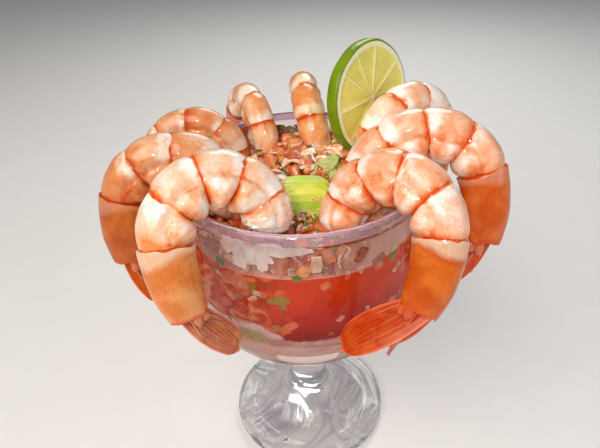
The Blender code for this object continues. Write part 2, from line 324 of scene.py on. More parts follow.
def wellCurve(steps, reach=0.0):
    sizes = glassSizes
    return bowlCurve(sizes["wellRadius"] + reach, sizes["wellWaist"], sizes["wellBase"] - reach,
                     sizes["wellSquareness"], steps)


def footAndStem(foot, edge, stem, base):
    # the rounded edge of the foot, its top with one ring, and the stem up to the bowl
    points = [(foot * share, 0.0) for share in (0.0, 0.25, 0.5, 0.75, 0.93)]
    points += arc(foot - 0.0016, 0.0018, 0.0016, 0.0018, -90, 0, 8)
    points += arc(foot - 0.0026, edge - 0.0016, 0.0026, 0.0021, 0, 90, 9)[1:]
    for step in range(4, 40):
        share = step / 40 * 0.96
        radius = foot + (stem - foot) * share
        height = edge + (glassSizes["stemFootTop"] - edge) * (0.25 * share + 0.75 * share ** 3.2)
        height += glassSizes["ringHeight"] * hump(radius, glassSizes["ringRadius"], glassSizes["ringWidth"])
        points.append((radius, height))
    top = glassSizes["stemFootTop"] + 0.004
    for step in range(1, 15):
        share = step / 14
        waist = 1.0 - 0.06 * math.sin(math.pi * share)
        points.append((stem * waist, top + (base - 0.006 - top) * share))
    return points + [(stem + 0.0008, base - 0.0036), (stem + 0.0024, base - 0.0010)]


def wallAndBead():
    sizes = glassSizes
    bead = sizes["beadHeight"] / 2
    middle = (sizes["rimRadius"] + sizes["wellRadius"] - 0.0006) / 2
    wallTop = sizes["height"] - 2.25 * bead
    points = []
    for step in range(1, 7):
        share = step / 6
        radius = sizes["bowlRadius"] + (sizes["rimRadius"] - 0.0006 - sizes["bowlRadius"]) * ease(share)
        points.append((radius, sizes["bowlWaist"] + (wallTop - sizes["bowlWaist"]) * share))
    points += arc(middle, sizes["height"] - bead, sizes["rimRadius"] - middle, bead, -40, 180, 16)
    return points + [(sizes["wellRadius"], sizes["height"] - 2.0 * bead)]


def makeGlass():
    sizes = glassSizes
    foot = sizes["footRadius"]
    stem = sizes["stemRadius"]
    outer = bowlCurve(sizes["bowlRadius"], sizes["bowlWaist"], sizes["bowlBase"], sizes["bowlSquareness"], 44)
    points = footAndStem(foot, sizes["footEdge"], stem, sizes["bowlBase"])
    points += [point for point in outer if point[0] > stem + 0.004]
    points += wallAndBead() + wellCurve(40)[::-1]
    shape = turned(points, sizes["segments"])
    for vert in shape.verts:
        reach = vert.co.xy.length
        if 0.0045 < vert.co.z < sizes["swirlTop"] and reach > sizes["swirlFrom"]:
            # the foot was pressed while soft and kept a swirl
            spot = around(math.atan2(vert.co.y, vert.co.x) + reach * sizes["swirlTwist"], 1.6, reach * 120)
            vert.co.z += sizes["swirl"] * noise.noise(spot) * ease((foot - 0.004 - reach) / 0.006)
    for face in shape.faces:
        height = face.calc_center_median().z
        face.material_index = sum(height > level for level in glassFinish["levels"])
    paints = [footPaint(), basePaint(), bowlPaint(), beadPaint()]
    return addPiece("glassBowl", shape, paints, ["glass"], sharp=70)


def glassPaint(name, clear, bend, rough):
    return Paint(name, {"Transmission Weight": clear, "IOR": bend, "Roughness": rough})


def footPaint():
    paint = glassPaint("footGlass", 0.94, 1.45, 0.0)
    swirl = paint.noise(paint.place((1, 1, 0.4)), 24, 1.0, 0.4, 2.2)
    # darker lines along the swirl, a painted reflection that shows the pressed swirl
    fold = abs(swirl - 0.5).step(0.045, 0.0) + abs(swirl - 0.62).step(0.03, 0.0) * 0.6
    paint.set(colour=paint.mix(fold.clamp(), glassFinish["footTint"], glassFinish["footReflectionLines"]))
    paint.bump(swirl, 0.0052, 0.60)
    return paint


def clouded(paint, scale, tint, light):
    cloud = paint.noise(paint.place(), scale, 2.0, 0.5, 0.5)
    paint.set(colour=paint.mix(cloud.step(0.3, 0.7), glassFinish[tint], glassFinish[light]))
    paint.bump(cloud, 0.0006, 0.3)
    return paint


def basePaint():
    # the thick underside of the bowl, with the colour of what is over it
    return clouded(glassPaint("baseGlass", 0.80, 1.33, 0.02), 40, "baseTint", "baseLight")


def bowlPaint():
    # it bends light less than the foot, so that what fills it stays deep in colour
    paint = glassPaint("bowlGlass", 1.0, 1.25, 0.0)
    upper = paint.axis(paint.place(), "Z").step(0.1470, 0.1520)
    paint.set(colour=paint.mix(upper, glassFinish["bowlTint"], glassFinish["upperTint"]))
    paint.bump(paint.noise(paint.place(), 55, 2.0, 0.4, 0.6), 0.0006, 0.35)
    return paint


def beadPaint():
    # the thick rim is a little milky
    return clouded(glassPaint("rimGlass", 0.72, 1.45, 0.06), 22, "beadTint", "beadLight")


# ---- salsa: a core that fills the bowl, and the chopped things in and on it

salsaSizes = {
    "wallReach": 0.00015, "wallLevel": 0.1462, "middleLevel": 0.1460, "sideRise": 0.0035, "backRise": 0.0125,
    "crown": 0.0065, "flat": 0.35, "sink": 0.0012, "relief": 0.0011, "sides": 144,
    "mound": (0.0030, -0.0365), "moundWidth": 0.0095, "moundHeight": 0.0060,
}
salsaColours = {
    "bright": "#e04000", "mid": "#c02000", "deep": "#9c1000", "onion": "#eeb07c", "herb": "#7d6c12",
    "pulp": "#ea6a24", "brown": "#8c3e08", "juice": "#efd2c6", "juiceDeep": "#cfa094", "line": "#ffcdb0",
}
wallRing = 40   # the rings of the core up the wall start here
topRing = 50    # and those over its top here


def salsaHeight(x, y):
    sizes = salsaSizes
    well = glassSizes["wellRadius"]
    reach = math.hypot(x, y) / well
    inside = 1.0 - ease((reach - sizes["flat"]) / (1.0 - sizes["flat"]))
    # the sauce stands higher at the sides and the back of the bowl
    atWall = sizes["wallLevel"] + sizes["sideRise"] * ease((abs(x + 0.004) - 0.026) / 0.024)
    level = atWall * (1.0 - inside) + sizes["middleLevel"] * inside
    back = sizes["backRise"] * ease(0.5 + 0.5 * y / well) * (1.0 - 0.35 * ease((reach - 0.7) / 0.3))
    moundX, moundY = sizes["mound"]
    heap = sizes["crown"] * inside
    heap += sizes["moundHeight"] * hump(math.hypot(x - moundX, y - moundY), 0.0, sizes["moundWidth"])
    dip = sizes["sink"] * ease((1.0 - reach) / 0.12)
    relief = lump(x * 190, y * 190, 3.0) + 0.6 * lump(x * 420, y * 420, 7.0)
    return level + heap + back - dip + sizes["relief"] * relief * ease((1.0 - reach) / 0.05)


def makeSalsaCore():
    reach = salsaSizes["wallReach"]
    wall = glassSizes["wellRadius"] + reach
    waist = glassSizes["wellWaist"]
    # ring number, radius, height, and how far it rises from there to the top of the salsa
    stations = [(ring, *point, 0.0) for ring, point in enumerate(wellCurve(36, reach))]
    stations += [(wallRing + step, wall, waist, step / 6) for step in range(1, 7)]
    stations += [(topRing + step, wall * (1.0 - step / 46), waist, 1.0) for step in range(1, 47)]

    def place(station, turn):
        _, radius, height, rise = station
        spot = around(turn, radius, height)
        if rise:
            spot.z = height + (salsaHeight(spot.x, spot.y) - height) * rise
        return spot

    shape = wrapped(bmesh.new(), stations, salsaSizes["sides"], place)
    return addPiece("salsaCore", shape, [salsaPaint()], ["cocktail_mix"])


def salsaPaint():
    colours = salsaColours
    paint = Paint("salsa", {"Roughness": 0.28, "Coat Roughness": 0.08, "Specular IOR Level": 0.2})
    spot = paint.place()
    height = paint.axis(spot, "Z")
    bearing = paint.sum("ARCTAN2", paint.axis(spot, "Y"), paint.axis(spot, "X"))
    ring = paint.axis(paint.wrapPlace(), "X")
    cloud = paint.noise(spot, 60, 4.0, 0.55, 0.8)
    patch = paint.noise(spot, 140, 3.0, 0.5, 1.2)
    fine = paint.noise(spot, 420, 3.0, 0.6)
    # darker towards the bottom of the bowl
    depth = (height - 0.090) / 0.052 + (cloud - 0.5) * 0.7
    sauce = paint.ramp(depth.clamp(), [
        (0.0, colours["deep"]), (0.30, colours["deep"]), (0.62, colours["mid"]), (0.95, colours["bright"])])
    # bits of onion, herb and tomato blurred by the sauce, less at the front right
    chopped = paint.ramp((patch * 1.7 - 0.35 + (fine - 0.5) * 0.3).clamp(), [
        (0.0, colours["herb"]), (0.20, colours["brown"]), (0.38, colours["mid"]),
        (0.60, colours["pulp"]), (0.80, colours["onion"]), (1.0, colours["onion"])])
    middle = (bearing + (cloud - 0.5) * 0.6 + 1.23).step(-0.66, -0.44)
    middle = middle * (bearing + (patch - 0.5) * 0.6 + 1.23).step(0.66, 0.46)
    share = (1.0 - middle * height.step(0.1480, 0.1440)) * 0.62
    # clear juice has settled under the sauce, lower at the front
    off = bearing + 1.52
    border = paint.sum("MINIMUM", off * off * 0.05, 0.008) + 0.1085
    settled = (height - border + (cloud - 0.5) * 0.012 + (patch - 0.5) * 0.005).step(0.0012, -0.0012)
    juice = paint.mix(cloud.step(0.42, 0.62), colours["juice"], colours["juiceDeep"])
    # a pale line where the sauce meets the glass
    line = ring.step(wallRing + 5.78, wallRing + 5.92) * ring.step(topRing + 3.0, topRing + 1.5)
    paint.set(colour=paint.layers(
        sauce, (share, chopped), (settled * 0.94, juice), (line * 0.6, colours["line"])))
    onTop = ring.step(topRing + 0.5, topRing + 2.0)
    paint.set(coat=onTop * 0.6)
    paint.bump(fine * 0.4 + cloud + patch * 0.5, 0.0012, onTop * 0.5 + 0.1)
    return paint


makeGlass()
makeSalsaCore()
print("glass and salsa core")


# ---- prawns

# degrees, metres and shares of the length, then the palette, how far the flesh is from cream, how pale
# the shell starts, and the colours of the shell, its patches, the fan and the fan's edge
prawnColumns = (
    "bearing", "heading", "lean", "hook", "curl", "tighten", "sway", "length", "height", "girth",
    "fan", "tuck", "spread", "torn", "palette", "depth", "cuff", "shell", "shellPatch", "fanBase", "fanEdge",
)
prawnTable = {
    "prawn_1": (232, 209, -36, 0.39, 216, -0.15, 40, 0.096, 0.1855, 1.03, 0.90, 0, 0.7, 0.15,
                "light", 0.41, 0.85, "#d67632", "#e59a5c", "#ac5438", "#e69a7a"),
    "prawn_2": (196, 190, -8, 0.43, 208, 0.05, -1, 0.100, 0.1805, 0.98, 0.80, -8, 0.6, 0.0,
                "deep", 0.52, 0.30, "#aa4800", "#c66810", "#bc4610", "#ec9c70"),
    "prawn_3": (154, 180, -5, 0.40, 216, -0.20, 1, 0.092, 0.1770, 0.78, 0.80, -22, 0.7, 0.0,
                "deep", 0.45, 0.30, "#cc6014", "#e0803c", "#c44c12", "#ec9c70"),
    "prawn_4": (116, 114, -2, 0.46, 207, 0.05, -2, 0.096, 0.1770, 0.77, 0.88, -8, 0.9, 0.0,
                "warm", 0.45, 0.30, "#bf5c22", "#d67c40", "#c44c12", "#ec9c70"),
    "prawn_5": (86, 93, 12, 0.47, 200, 0.05, 2, 0.099, 0.1785, 0.85, 0.90, -8, 1.0, 0.13,
                "orange", 0.45, 0.30, "#cc6014", "#e0803c", "#c44c12", "#ec9c70"),
    "prawn_6": (25, 33, 1, 0.34, 201, -0.25, 0, 0.098, 0.1825, 0.95, 0.85, -15, 0.8, 0.0,
                "light", 0.45, 0.60, "#cc6420", "#e0803c", "#c44c12", "#ec9c70"),
    "prawn_7": (-5, -7, 17, 0.43, 184, 0.40, 6, 0.109, 0.1810, 0.95, 0.74, 4, 0.65, 0.0,
                "pink", 0.44, 0.30, "#cc520e", "#e07430", "#c43c10", "#f0a888"),
    "prawn_8": (-46, -41, 27, 0.42, 210, 0.05, -1, 0.097, 0.1800, 1.02, 1.18, 6, 0.7, 0.0,
                "pink", 0.43, 0.85, "#c04c04", "#d46c20", "#b83404", "#ea7444"),
}
prawnShape = {
    "rimCrossing": 0.056, "widthToDepth": 0.80, "curveSteps": 120,
    "bounds": (0.0, 0.13, 0.27, 0.41, 0.55, 0.70),
    "taper": ((0.0, .080), (.05, .100), (.20, .116), (.40, .120), (.60, .114), (.73, .105),
              (.88, .096), (1.0, .077)),
    "sides": 64, "segmentSteps": 18, "slant": 0.020, "wobble": 0.010, "inset": 0.985,
    "backCrease": 0.09, "bellyCrease": 0.25, "sideGroove": 0.14, "bellyGroove": 0.16, "sideAngle": 1.50,
    "lump": 0.035, "shellStart": 0.70, "shellLift": 0.00036,
}
fanBlades = {
    "telson": dict(length=0.019, width=0.0068, thickness=0.0026, droop=0, splay=0, roll=90, point=0.25),
    "outer": dict(length=0.029, width=0.0136, thickness=0.0013, droop=21, splay=18, roll=28, point=0.62),
    "inner": dict(length=0.030, width=0.0122, thickness=0.0012, droop=28, splay=8, roll=12, point=0.55),
}
bladeRoot = 0.007
# cream, peach, orange and the line of a crease
fleshPalettes = {
    "light": ("#f7efe6", "#f3c29c", "#e88440", "#da5014"),
    "warm": ("#eedfce", "#e5a470", "#d67128", "#c6440e"),
    "deep": ("#e8d3bf", "#dc9a6a", "#cc6828", "#be4210"),
    "orange": ("#f1d8bc", "#e89a58", "#da6a20", "#c8480e"),
    "pink": ("#f6eadf", "#f1b28a", "#e27a3a", "#d6480e"),
}
shellTones = {"pale": "#efd2b4", "line": "#cf4214", "specks": "#c8431a", "rays": "#a8361a"}


def segments():
    return zip(prawnShape["bounds"], prawnShape["bounds"][1:])


def prawnPath(values):
    # middle, tangent, back and side directions at even steps along the body
    steps = prawnShape["curveSteps"]
    shares = [step / steps for step in range(steps + 1)]
    weights = [(1.0 + values["tighten"] * (2 * share - 1)) * (1.0 - 0.7 * ease((share - 0.66) / 0.10))
               for share in shares]
    turnedBy = [0.0]
    for first, second in zip(weights, weights[1:]):
        turnedBy.append(turnedBy[-1] + (first + second) / 2)
    low = int(values["hook"] * steps)
    part = values["hook"] * steps - low
    atHook = turnedBy[low] + (turnedBy[low + 1] - turnedBy[low]) * part
    heading = math.radians(values["heading"])
    lean = math.radians(values["lean"])
    out = around(heading)
    aside = Vector((-math.sin(heading), math.cos(heading), 0.0))
    up = Vector((0, 0, 1)) * math.cos(lean) + aside * math.sin(lean)
    side = out.cross(up)
    frames = []
    middle = Vector((0, 0, 0))
    previous = None
    for share, turnedHere in zip(shares, turnedBy):
        angle = math.radians(values["curl"]) * (atHook - turnedHere) / turnedBy[-1]
        sway = math.radians(values["sway"]) * (share - values["hook"])
        along = out * math.cos(angle) + up * math.sin(angle)
        back = up * math.cos(angle) - out * math.sin(angle)
        tangent = along * math.cos(sway) + side * math.sin(sway)
        if previous is not None:
            middle = middle + (previous + tangent) / 2 * (values["length"] / steps)
        previous = tangent
        frames.append((middle.copy(), tangent, back, tangent.cross(back)))
    anchor = around(math.radians(values["bearing"]), prawnShape["rimCrossing"], values["height"])
    crossing = frames[low][0].lerp(frames[low + 1][0], part)
    return [(point - crossing + anchor, *rest) for point, *rest in frames]


def frameAt(path, share):
    step = min(max(share, 0.0), 1.0) * prawnShape["curveSteps"]
    low = min(int(step), prawnShape["curveSteps"] - 1)
    middle, tangent, back, side = [first.lerp(second, step - low)
                                   for first, second in zip(path[low], path[low + 1])]
    if share > 1.0:
        middle = middle + tangent * (share - 1.0) * 0.1
    return middle, tangent, back, side


def section(frame, turn, size):
    # a point on the oval round the middle of the body
    middle, _, back, side = frame
    return middle + back * size * math.cos(turn) + side * size * prawnShape["widthToDepth"] * math.sin(turn)


def halfDepth(values, share):
    return between(prawnShape["taper"], share) * values["length"] * values["girth"]


def fold(turn):
    # 0 at the back to pi at the belly on either side
    return turn if turn <= math.pi else 2 * math.pi - turn


def fleshStations():
    shares = [0.0, 0.0006, 0.003, 0.007, 0.012, 0.018, 0.028]
    steps = prawnShape["segmentSteps"]
    evened = [0.5 - 0.5 * math.cos(math.pi * step / steps) for step in range(steps)]
    for start, end in segments():
        shares += [start + (end - start) * local for local in evened if start + (end - start) * local > 0.03]
    shares += [0.71, 0.76, 0.82, 0.88, 0.93, 0.96, 0.975, 0.975]
    return [(share,) for share in shares]


def addFlesh(shape, values, path):
    sizes = prawnShape
    seed = values["seed"]

    def place(station, turn):
        along = station[0]
        angle = fold(turn)
        x = math.cos(turn)
        y = math.sin(turn)
        salt = seed * 3.7
        free = 1.0 - ease((along - 0.62) / 0.07)
        shift = sizes["slant"] * (1.0 - math.cos(angle)) / 2 + sizes["wobble"] * lump(along * 14, x, y + salt)
        share = along + shift * free * ease(along / 0.08)
        local = 1.0
        for start, end in segments():
            if start <= along < end:
                local = (along - start) / (end - start)
        belly = ease((angle - 1.25) / 1.1)
        # sharp creases over the back, round lobes along the belly
        within = ease((along - 0.02) / 0.26) if along < 0.70 else 0.0
        sharp = 0.85 * (1.0 - local) ** 6 + local ** 9
        swell = 1.0 - within * (sizes["backCrease"] * sharp * (1.0 - belly)
                                + sizes["bellyCrease"] * abs(2 * local - 1) ** 2.6 * belly)
        lobe = max(1.0 - (2 * local - 1) ** 2, 0.0) ** 0.8 * within
        groove = sizes["sideAngle"] + 0.10 * lump(along * 9, seed * 2.3, 1.0)
        swell -= sizes["sideGroove"] * hump(angle, groove, 0.15) * (0.5 + 0.5 * lobe) * free
        swell += 0.105 * hump(angle, 2.08, 0.36) * lobe * free
        swell += 0.035 * hump(angle, 0.85, 0.5) * lobe * free
        # fine seams between the bundles of muscle
        swell -= 0.016 * (hump(angle, 0.95, 0.05) + hump(angle, 0.42, 0.04)) * free
        swell -= 0.014 * hump(local, 0.46, 0.035) * (1.0 - belly) * free
        swell -= sizes["bellyGroove"] * hump(angle, math.pi, 0.20)
        swell += sizes["lump"] * lump(along * 22, x * 1.7, y * 1.7 + salt)
        swell += 0.012 * lump(along * 70, x * 5, y * 5 + salt)
        torn = values["torn"] * (1.0 - ease((along - 0.05) / 0.10))
        swell += torn * lump(along * 85, x * 4.5, y * 4.5 + salt)
        if along < 0.03:
            swell *= math.sqrt(max(1.0 - (1.0 - along / 0.03) ** 2, 0.0)) * 0.94
        if along > 0.96:
            swell *= math.sqrt(max(1.0 - ((along - 0.96) / 0.015) ** 2, 0.0))
        if along == 0.0:
            return frameAt(path, 0.0)[0]
        return section(frameAt(path, share), turn, halfDepth(values, share) * swell * sizes["inset"])

    return wrapped(shape, fleshStations(), sizes["sides"], place)


def addShell(shape, values, path):
    # a cup of shell over the last segment, with a lip at both ends: place, scale and lift
    start = prawnShape["shellStart"]
    lift = prawnShape["shellLift"]
    stations = [(start + 0.012, 0.0, 0.0), (start + 0.008, 0.7, 0.0), (start, 0.97, 0.0),
                (start - 0.003, 1.0, 0.1 * lift), (start - 0.004, 1.0, 0.6 * lift),
                (start - 0.002, 1.0, lift)]
    stations += [(start + (0.995 - start) * step / 30, 1.0, lift) for step in range(1, 31)]
    stations += [(0.9985, 1.0, 0.8 * lift), (1.0, 1.0, 0.2 * lift), (0.998, 1.0, -0.6 * lift),
                 (0.985, 0.95, -lift), (0.95, 0.90, -lift), (0.93, 0.5, 0.0), (0.925, 0.0, 0.0)]

    def place(station, turn):
        along, scale, offset = station
        if scale == 0.0:
            return frameAt(path, along)[0]
        angle = fold(turn)
        x = math.cos(turn) * 2
        y = math.sin(turn) * 2
        salt = values["seed"] * 1.9
        rag = lump(x * 1.1, y * 1.1, salt)
        share = along + (0.010 * rag + 0.004 if along < start + 0.02 else 0.0)
        corner = hump(angle, 2.0, 0.28) + 0.5 * hump(angle, 0.0, 0.25)
        share += ease((along - 0.93) / 0.07) * (0.020 * corner - 0.018 + 0.006 * rag)
        size = halfDepth(values, share) * prawnShape["inset"] * scale + offset
        # a keel along the back and a pinched belly
        size *= 1.0 + 0.004 * hump(angle, 0.0, 0.22) - 0.06 * hump(angle, math.pi, 0.5)
        size *= 1.0 + 0.012 * lump(along * 16, x, y + salt)
        return section(frameAt(path, share), turn, size)

    return wrapped(shape, stations, prawnShape["sides"], place)


def addBlade(shape, values, path, kind, hand, salt):
    # one flat, ribbed blade of the tail, rooted inside the shell
    blade = fanBlades[kind]
    middle, tangent, back, side = frameAt(path, 1.0)
    side = side * hand
    droop = blade["droop"] + (values["tuck"] if blade["splay"] else 0)
    turn = Matrix.Rotation(math.radians(droop), 3, back.cross(tangent))
    along = turn @ tangent
    flat = turn @ back
    spread = Matrix.Rotation(math.radians(blade["splay"] * values["spread"]), 3, along.cross(side))
    along = spread @ along
    side = spread @ side
    roll = math.radians(blade["roll"])
    across = flat * math.cos(roll) + side * math.sin(roll)
    normal = side * math.cos(roll) - flat * math.sin(roll)
    size = values["fan"]
    point = blade["point"]
    outline = ((0.0, 0.60), (0.15, 0.76), (0.33, 0.93), (0.48, 1.0), (0.66, 0.96),
               (0.80, 0.82), (0.90, (0.74 + point) / 2), (0.96, point * 0.80), (1.0, point * 0.40))

    def place(station, turn):
        share, scale = station
        width = between(outline, share)
        if share > 0.9:
            width *= math.sqrt(max(1.0 - ((share - 0.9) / 0.1) ** 2 * 0.75, 0.0))
        half = blade["width"] * size * width / 2
        x = math.cos(turn)
        rib = 0.9 * hump(x, 0.0, 0.16) * (1.0 - share)
        thick = blade["thickness"] * (1.0 - 0.55 * share) / 2 * math.sin(turn) * (1.0 + rib)
        bend = 0.10 * half * (x * x - 0.4) + 0.0012 * math.sin(share * 2.4 + salt)
        length = bladeRoot + blade["length"] * size
        tip = length * (share - 0.018 * x * x * ease((share - 0.7) / 0.3))
        return middle + along * (tip - bladeRoot) + (across * half * x + normal * (thick - bend)) * scale

    return wrapped(shape, capped(26), 20, place)


def addKnuckles(shape, values, path):
    # the small pale joints that carry the blades
    middle, tangent, back, side = frameAt(path, 0.99)
    size = halfDepth(values, 1.0)
    layer = shape.loops.layers.uv.get("wrap")
    turn = Matrix((tangent, back, side)).transposed().to_4x4()
    for hand in (1, -1):
        for down, out, long in ((-0.10, 0.58, 1.0), (-0.52, 0.46, 0.85)):
            spot = middle + back * size * down + side * size * out * hand + tangent * size * 0.20
            scale = Matrix.Diagonal((size * 0.50 * long, size * 0.26, size * 0.22, 1.0))
            made = bmesh.ops.create_uvsphere(shape, u_segments=16, v_segments=10, radius=1.0,
                                             matrix=Matrix.Translation(spot) @ turn @ scale)["verts"]
            for face in {face for vert in made for face in vert.link_faces}:
                for loop in face.loops:
                    loop[layer].uv = (0.11, 0.25)
            for vert in made:
                vert.co += noise.noise_vector(vert.co * 420) * size * 0.07


def fleshPaint(values):
    cream, peach, orange, line = fleshPalettes[values["palette"]]
    paint = Paint(values["name"] + "Flesh", {
        "Coat Weight": 0.70, "Coat Roughness": 0.07, "IOR": 1.38, "Specular IOR Level": 0.3,
        "Subsurface Weight": 0.22, "Subsurface Scale": 0.0025, "Subsurface Radius": (1.0, 0.45, 0.30)})
    along, turn = paint.wrapAxes()
    spot = paint.place(shift=(values["seed"] * 0.31, values["seed"] * 0.17, 0.0))
    blotch = paint.noise(spot, 85, 3.0, 0.55, 0.4)
    patch = paint.noise(spot, 150, 3.0, 0.6, 0.8)
    fine = paint.noise(spot, 420, 3.0, 0.6)
    broken = paint.noise(spot, 120, 2.0, 0.5)
    veins = paint.noise(paint.wrapPlace((16, 7, 1)), 3.2, 3.0, 0.55, 0.7)
    fibre = paint.noise(paint.wrapPlace((34, 5, 1)), 6, 3.0, 0.6, 0.4)
    back = abs(turn - 0.5)   # 0 at the belly and 0.5 at the back
    stops = [stop for start, end in segments() for stop in ((start, 0.0), (end - 0.0015, 1.0))]
    local = paint.axis(paint.ramp((along + (patch - 0.5) * 0.012).clamp(), stops), "X")
    split = 0.5 - prawnShape["sideAngle"] / (2 * math.pi)
    tone = (blotch - 0.5) * 1.05 + (fibre - 0.5) * 0.12 + values["depth"]
    if values["torn"]:
        tone = tone - (along + (patch - 0.5) * 0.08).step(0.17, 0.08) * 0.24
    # cream next to each crease, more of it over the back: the flesh's own pale bands with a painted highlight
    # on the back; warmer up to the next one
    upper = back.step(split - 0.01, split + 0.05)
    pale = (local + (blotch - 0.5) * 0.5).step(0.42, 0.06) * (upper * 0.75 + 0.25)
    tone = tone - pale * patch.step(0.30, 0.52) * 0.52
    tone = tone + (local + (patch - 0.5) * 0.3).step(0.60, 1.0) * 0.14
    # lobes along the belly paler, their own pearly cream with a painted highlight, with orange between them
    lobe = local.step(0.06, 0.40) * local.step(0.98, 0.62) * back.step(split + 0.01, split - 0.03)
    lobe = lobe * back.step(0.07, 0.13) * blotch.step(0.62, 0.34)
    below = back.step(split + 0.012, split - 0.012)
    tone = tone - lobe * 0.22 + (below - lobe).clamp() * patch.step(0.30, 0.65) * 0.13
    groove = back.step(split + 0.030, split + 0.004) * back.step(split - 0.030, split - 0.004)
    tone = tone + groove * patch.step(0.36, 0.60) * 0.22
    tone = tone + abs(veins - 0.5).step(0.030, 0.004) * patch.step(0.40, 0.55) * 0.15
    crease = None
    glow = None
    for bound in prawnShape["bounds"][1:]:
        off = abs(along - bound + (fine - 0.5) * 0.006 + (patch - 0.5) * 0.006)
        band = off.step(0.0075, 0.0018)
        soft = off.step(0.026, 0.003)
        crease = crease.max(band) if crease else band
        glow = glow.max(soft) if glow else soft
    tone = tone + crease * (broken.step(0.34, 0.52) * 0.60 + 0.14) + glow * broken.step(0.38, 0.60) * 0.28
    paint.set(colour=paint.ramp(tone.clamp(), [
        (0.0, cream), (0.16, cream), (0.47, peach), (0.80, orange), (1.0, line)]))
    paint.set(roughness=0.24 + blotch * 0.16)
    paint.bump(fibre * 0.22 + fine * 0.06 + blotch * 0.7 + patch * 0.3, 0.0010, 0.45)
    return paint


def shellPaint(values):
    paint = Paint(values["name"] + "Shell", {
        "Roughness": 0.26, "Coat Weight": 0.35, "Coat Roughness": 0.10, "Specular IOR Level": 0.2,
        "Subsurface Weight": 0.12, "Subsurface Scale": 0.002})
    along, turn = paint.wrapAxes()
    back = abs(turn - 0.5)
    spot = paint.place(shift=(values["seed"] * 0.23, 0.0, values["seed"] * 0.41))
    blotch = paint.noise(spot, 75, 4.0, 0.6, 0.5)
    streak = paint.noise(paint.wrapPlace((5, 26, 1)), 3, 3.0, 0.5, 0.3)
    speck = paint.cells(spot, 900).step(0.16, 0.05) * blotch.step(0.5, 0.6)
    top = (along - back.step(0.16, 0.44) * 0.030 + (blotch - 0.5) * 0.09).step(0.738, 0.700)
    # a pale line along the back, a painted sheen where the thin shell meets the light edge-on
    backSheen = back.step(0.470, 0.498) * blotch.step(0.40, 0.65)
    colour = paint.mix(blotch.step(0.38, 0.66), values["shell"], values["shellPatch"])
    paint.set(colour=paint.layers(
        colour, (streak.step(0.52, 0.70) * 0.45, shellTones["line"]), (speck * 0.6, shellTones["specks"]),
        (top * (streak * 0.5 + 0.45) * values["cuff"], shellTones["pale"]), (backSheen * 0.30, shellTones["pale"]),
        (along.step(0.975, 0.992) * 0.7, shellTones["line"])))
    paint.set(roughness=0.22 + blotch * 0.14)
    paint.bump(blotch * 0.7 + streak * 0.35, 0.0006, 0.35)
    return paint


def fanPaint(values):
    paint = Paint(values["name"] + "Fan", {
        "Roughness": 0.30, "Coat Weight": 0.3, "Coat Roughness": 0.15, "Specular IOR Level": 0.2,
        "Subsurface Weight": 0.15, "Subsurface Scale": 0.0015})
    along, turn = paint.wrapAxes()
    blotch = paint.noise(paint.place(shift=(0.0, values["seed"] * 0.37, 0.0)), 150, 3.0, 0.6, 0.6)
    across = paint.sum("COSINE", turn * (2 * math.pi))
    rays = paint.sum("SINE", across * 24.0 + (blotch - 0.5) * 3.5)
    middle = abs(across).step(0.22, 0.04) * along.step(0.85, 0.4)
    rim = abs(across).step(0.90, 0.985).max(along.step(0.955, 0.985))
    colour = paint.mix(blotch.step(0.35, 0.7) * 0.6, values["fanBase"], values["shellPatch"])
    paint.set(colour=paint.layers(
        colour, (rays.step(0.2, 1.0) * 0.38 * blotch.step(0.30, 0.6), shellTones["rays"]),
        (middle * 0.35, shellTones["rays"]), (rim * 0.85, values["fanEdge"]),
        (along.step(0.16, 0.06) * 0.65, values["fanEdge"])))
    paint.bump(rays * 0.18 + blotch - middle * 0.4, 0.0005, 0.6)
    return paint


def makePrawn(values):
    path = prawnPath(values)
    shape = bmesh.new()
    addFlesh(shape, values, path)
    fleshFaces = set(shape.faces)
    addShell(shape, values, path)
    shellFaces = set(shape.faces) - fleshFaces
    addBlade(shape, values, path, "telson", 1, values["seed"])
    for hand in (1, -1):
        for kind in ("outer", "inner"):
            addBlade(shape, values, path, kind, hand, values["seed"] + hand)
    addKnuckles(shape, values, path)
    for face in shape.faces:
        face.material_index = 0 if face in fleshFaces else 1 if face in shellFaces else 2
    paints = [fleshPaint(values), shellPaint(values), fanPaint(values)]
    name = values["name"]
    return addPiece(name.replace("_", "") + "Dressed", shape, paints, [name])


for number, (name, row) in enumerate(prawnTable.items()):
    makePrawn(dict(zip(prawnColumns, row), name=name, seed=number + 1))
print("prawns")


# ---- lime wheel

limeSizes = {
    "centre": (0.034, 0.032, 0.184), "radius": 0.027, "thickness": 0.006, "turn": 45, "tilt": 9,
    "rind": 0.0011, "pith": 0.0022, "corner": 0.0012, "shrink": 0.991, "segments": 10, "sides": 240,
    "rings": (0.0, 0.03, 0.06, 0.10, 0.16, 0.24, 0.33, 0.43, 0.53, 0.63, 0.72, 0.80, 0.86, 0.91, 0.95,
              0.98, 1.0),
    "slotFloor": 0.12, "slotGap": 0.0003,
}
limeColours = {
    "rind": "#789208", "rindDark": "#4c6c04", "pith": "#f6f4cc", "pulp": "#f8ee84",
    "pulpDeep": "#d3cd48", "skin": "#f8f4c0",
}


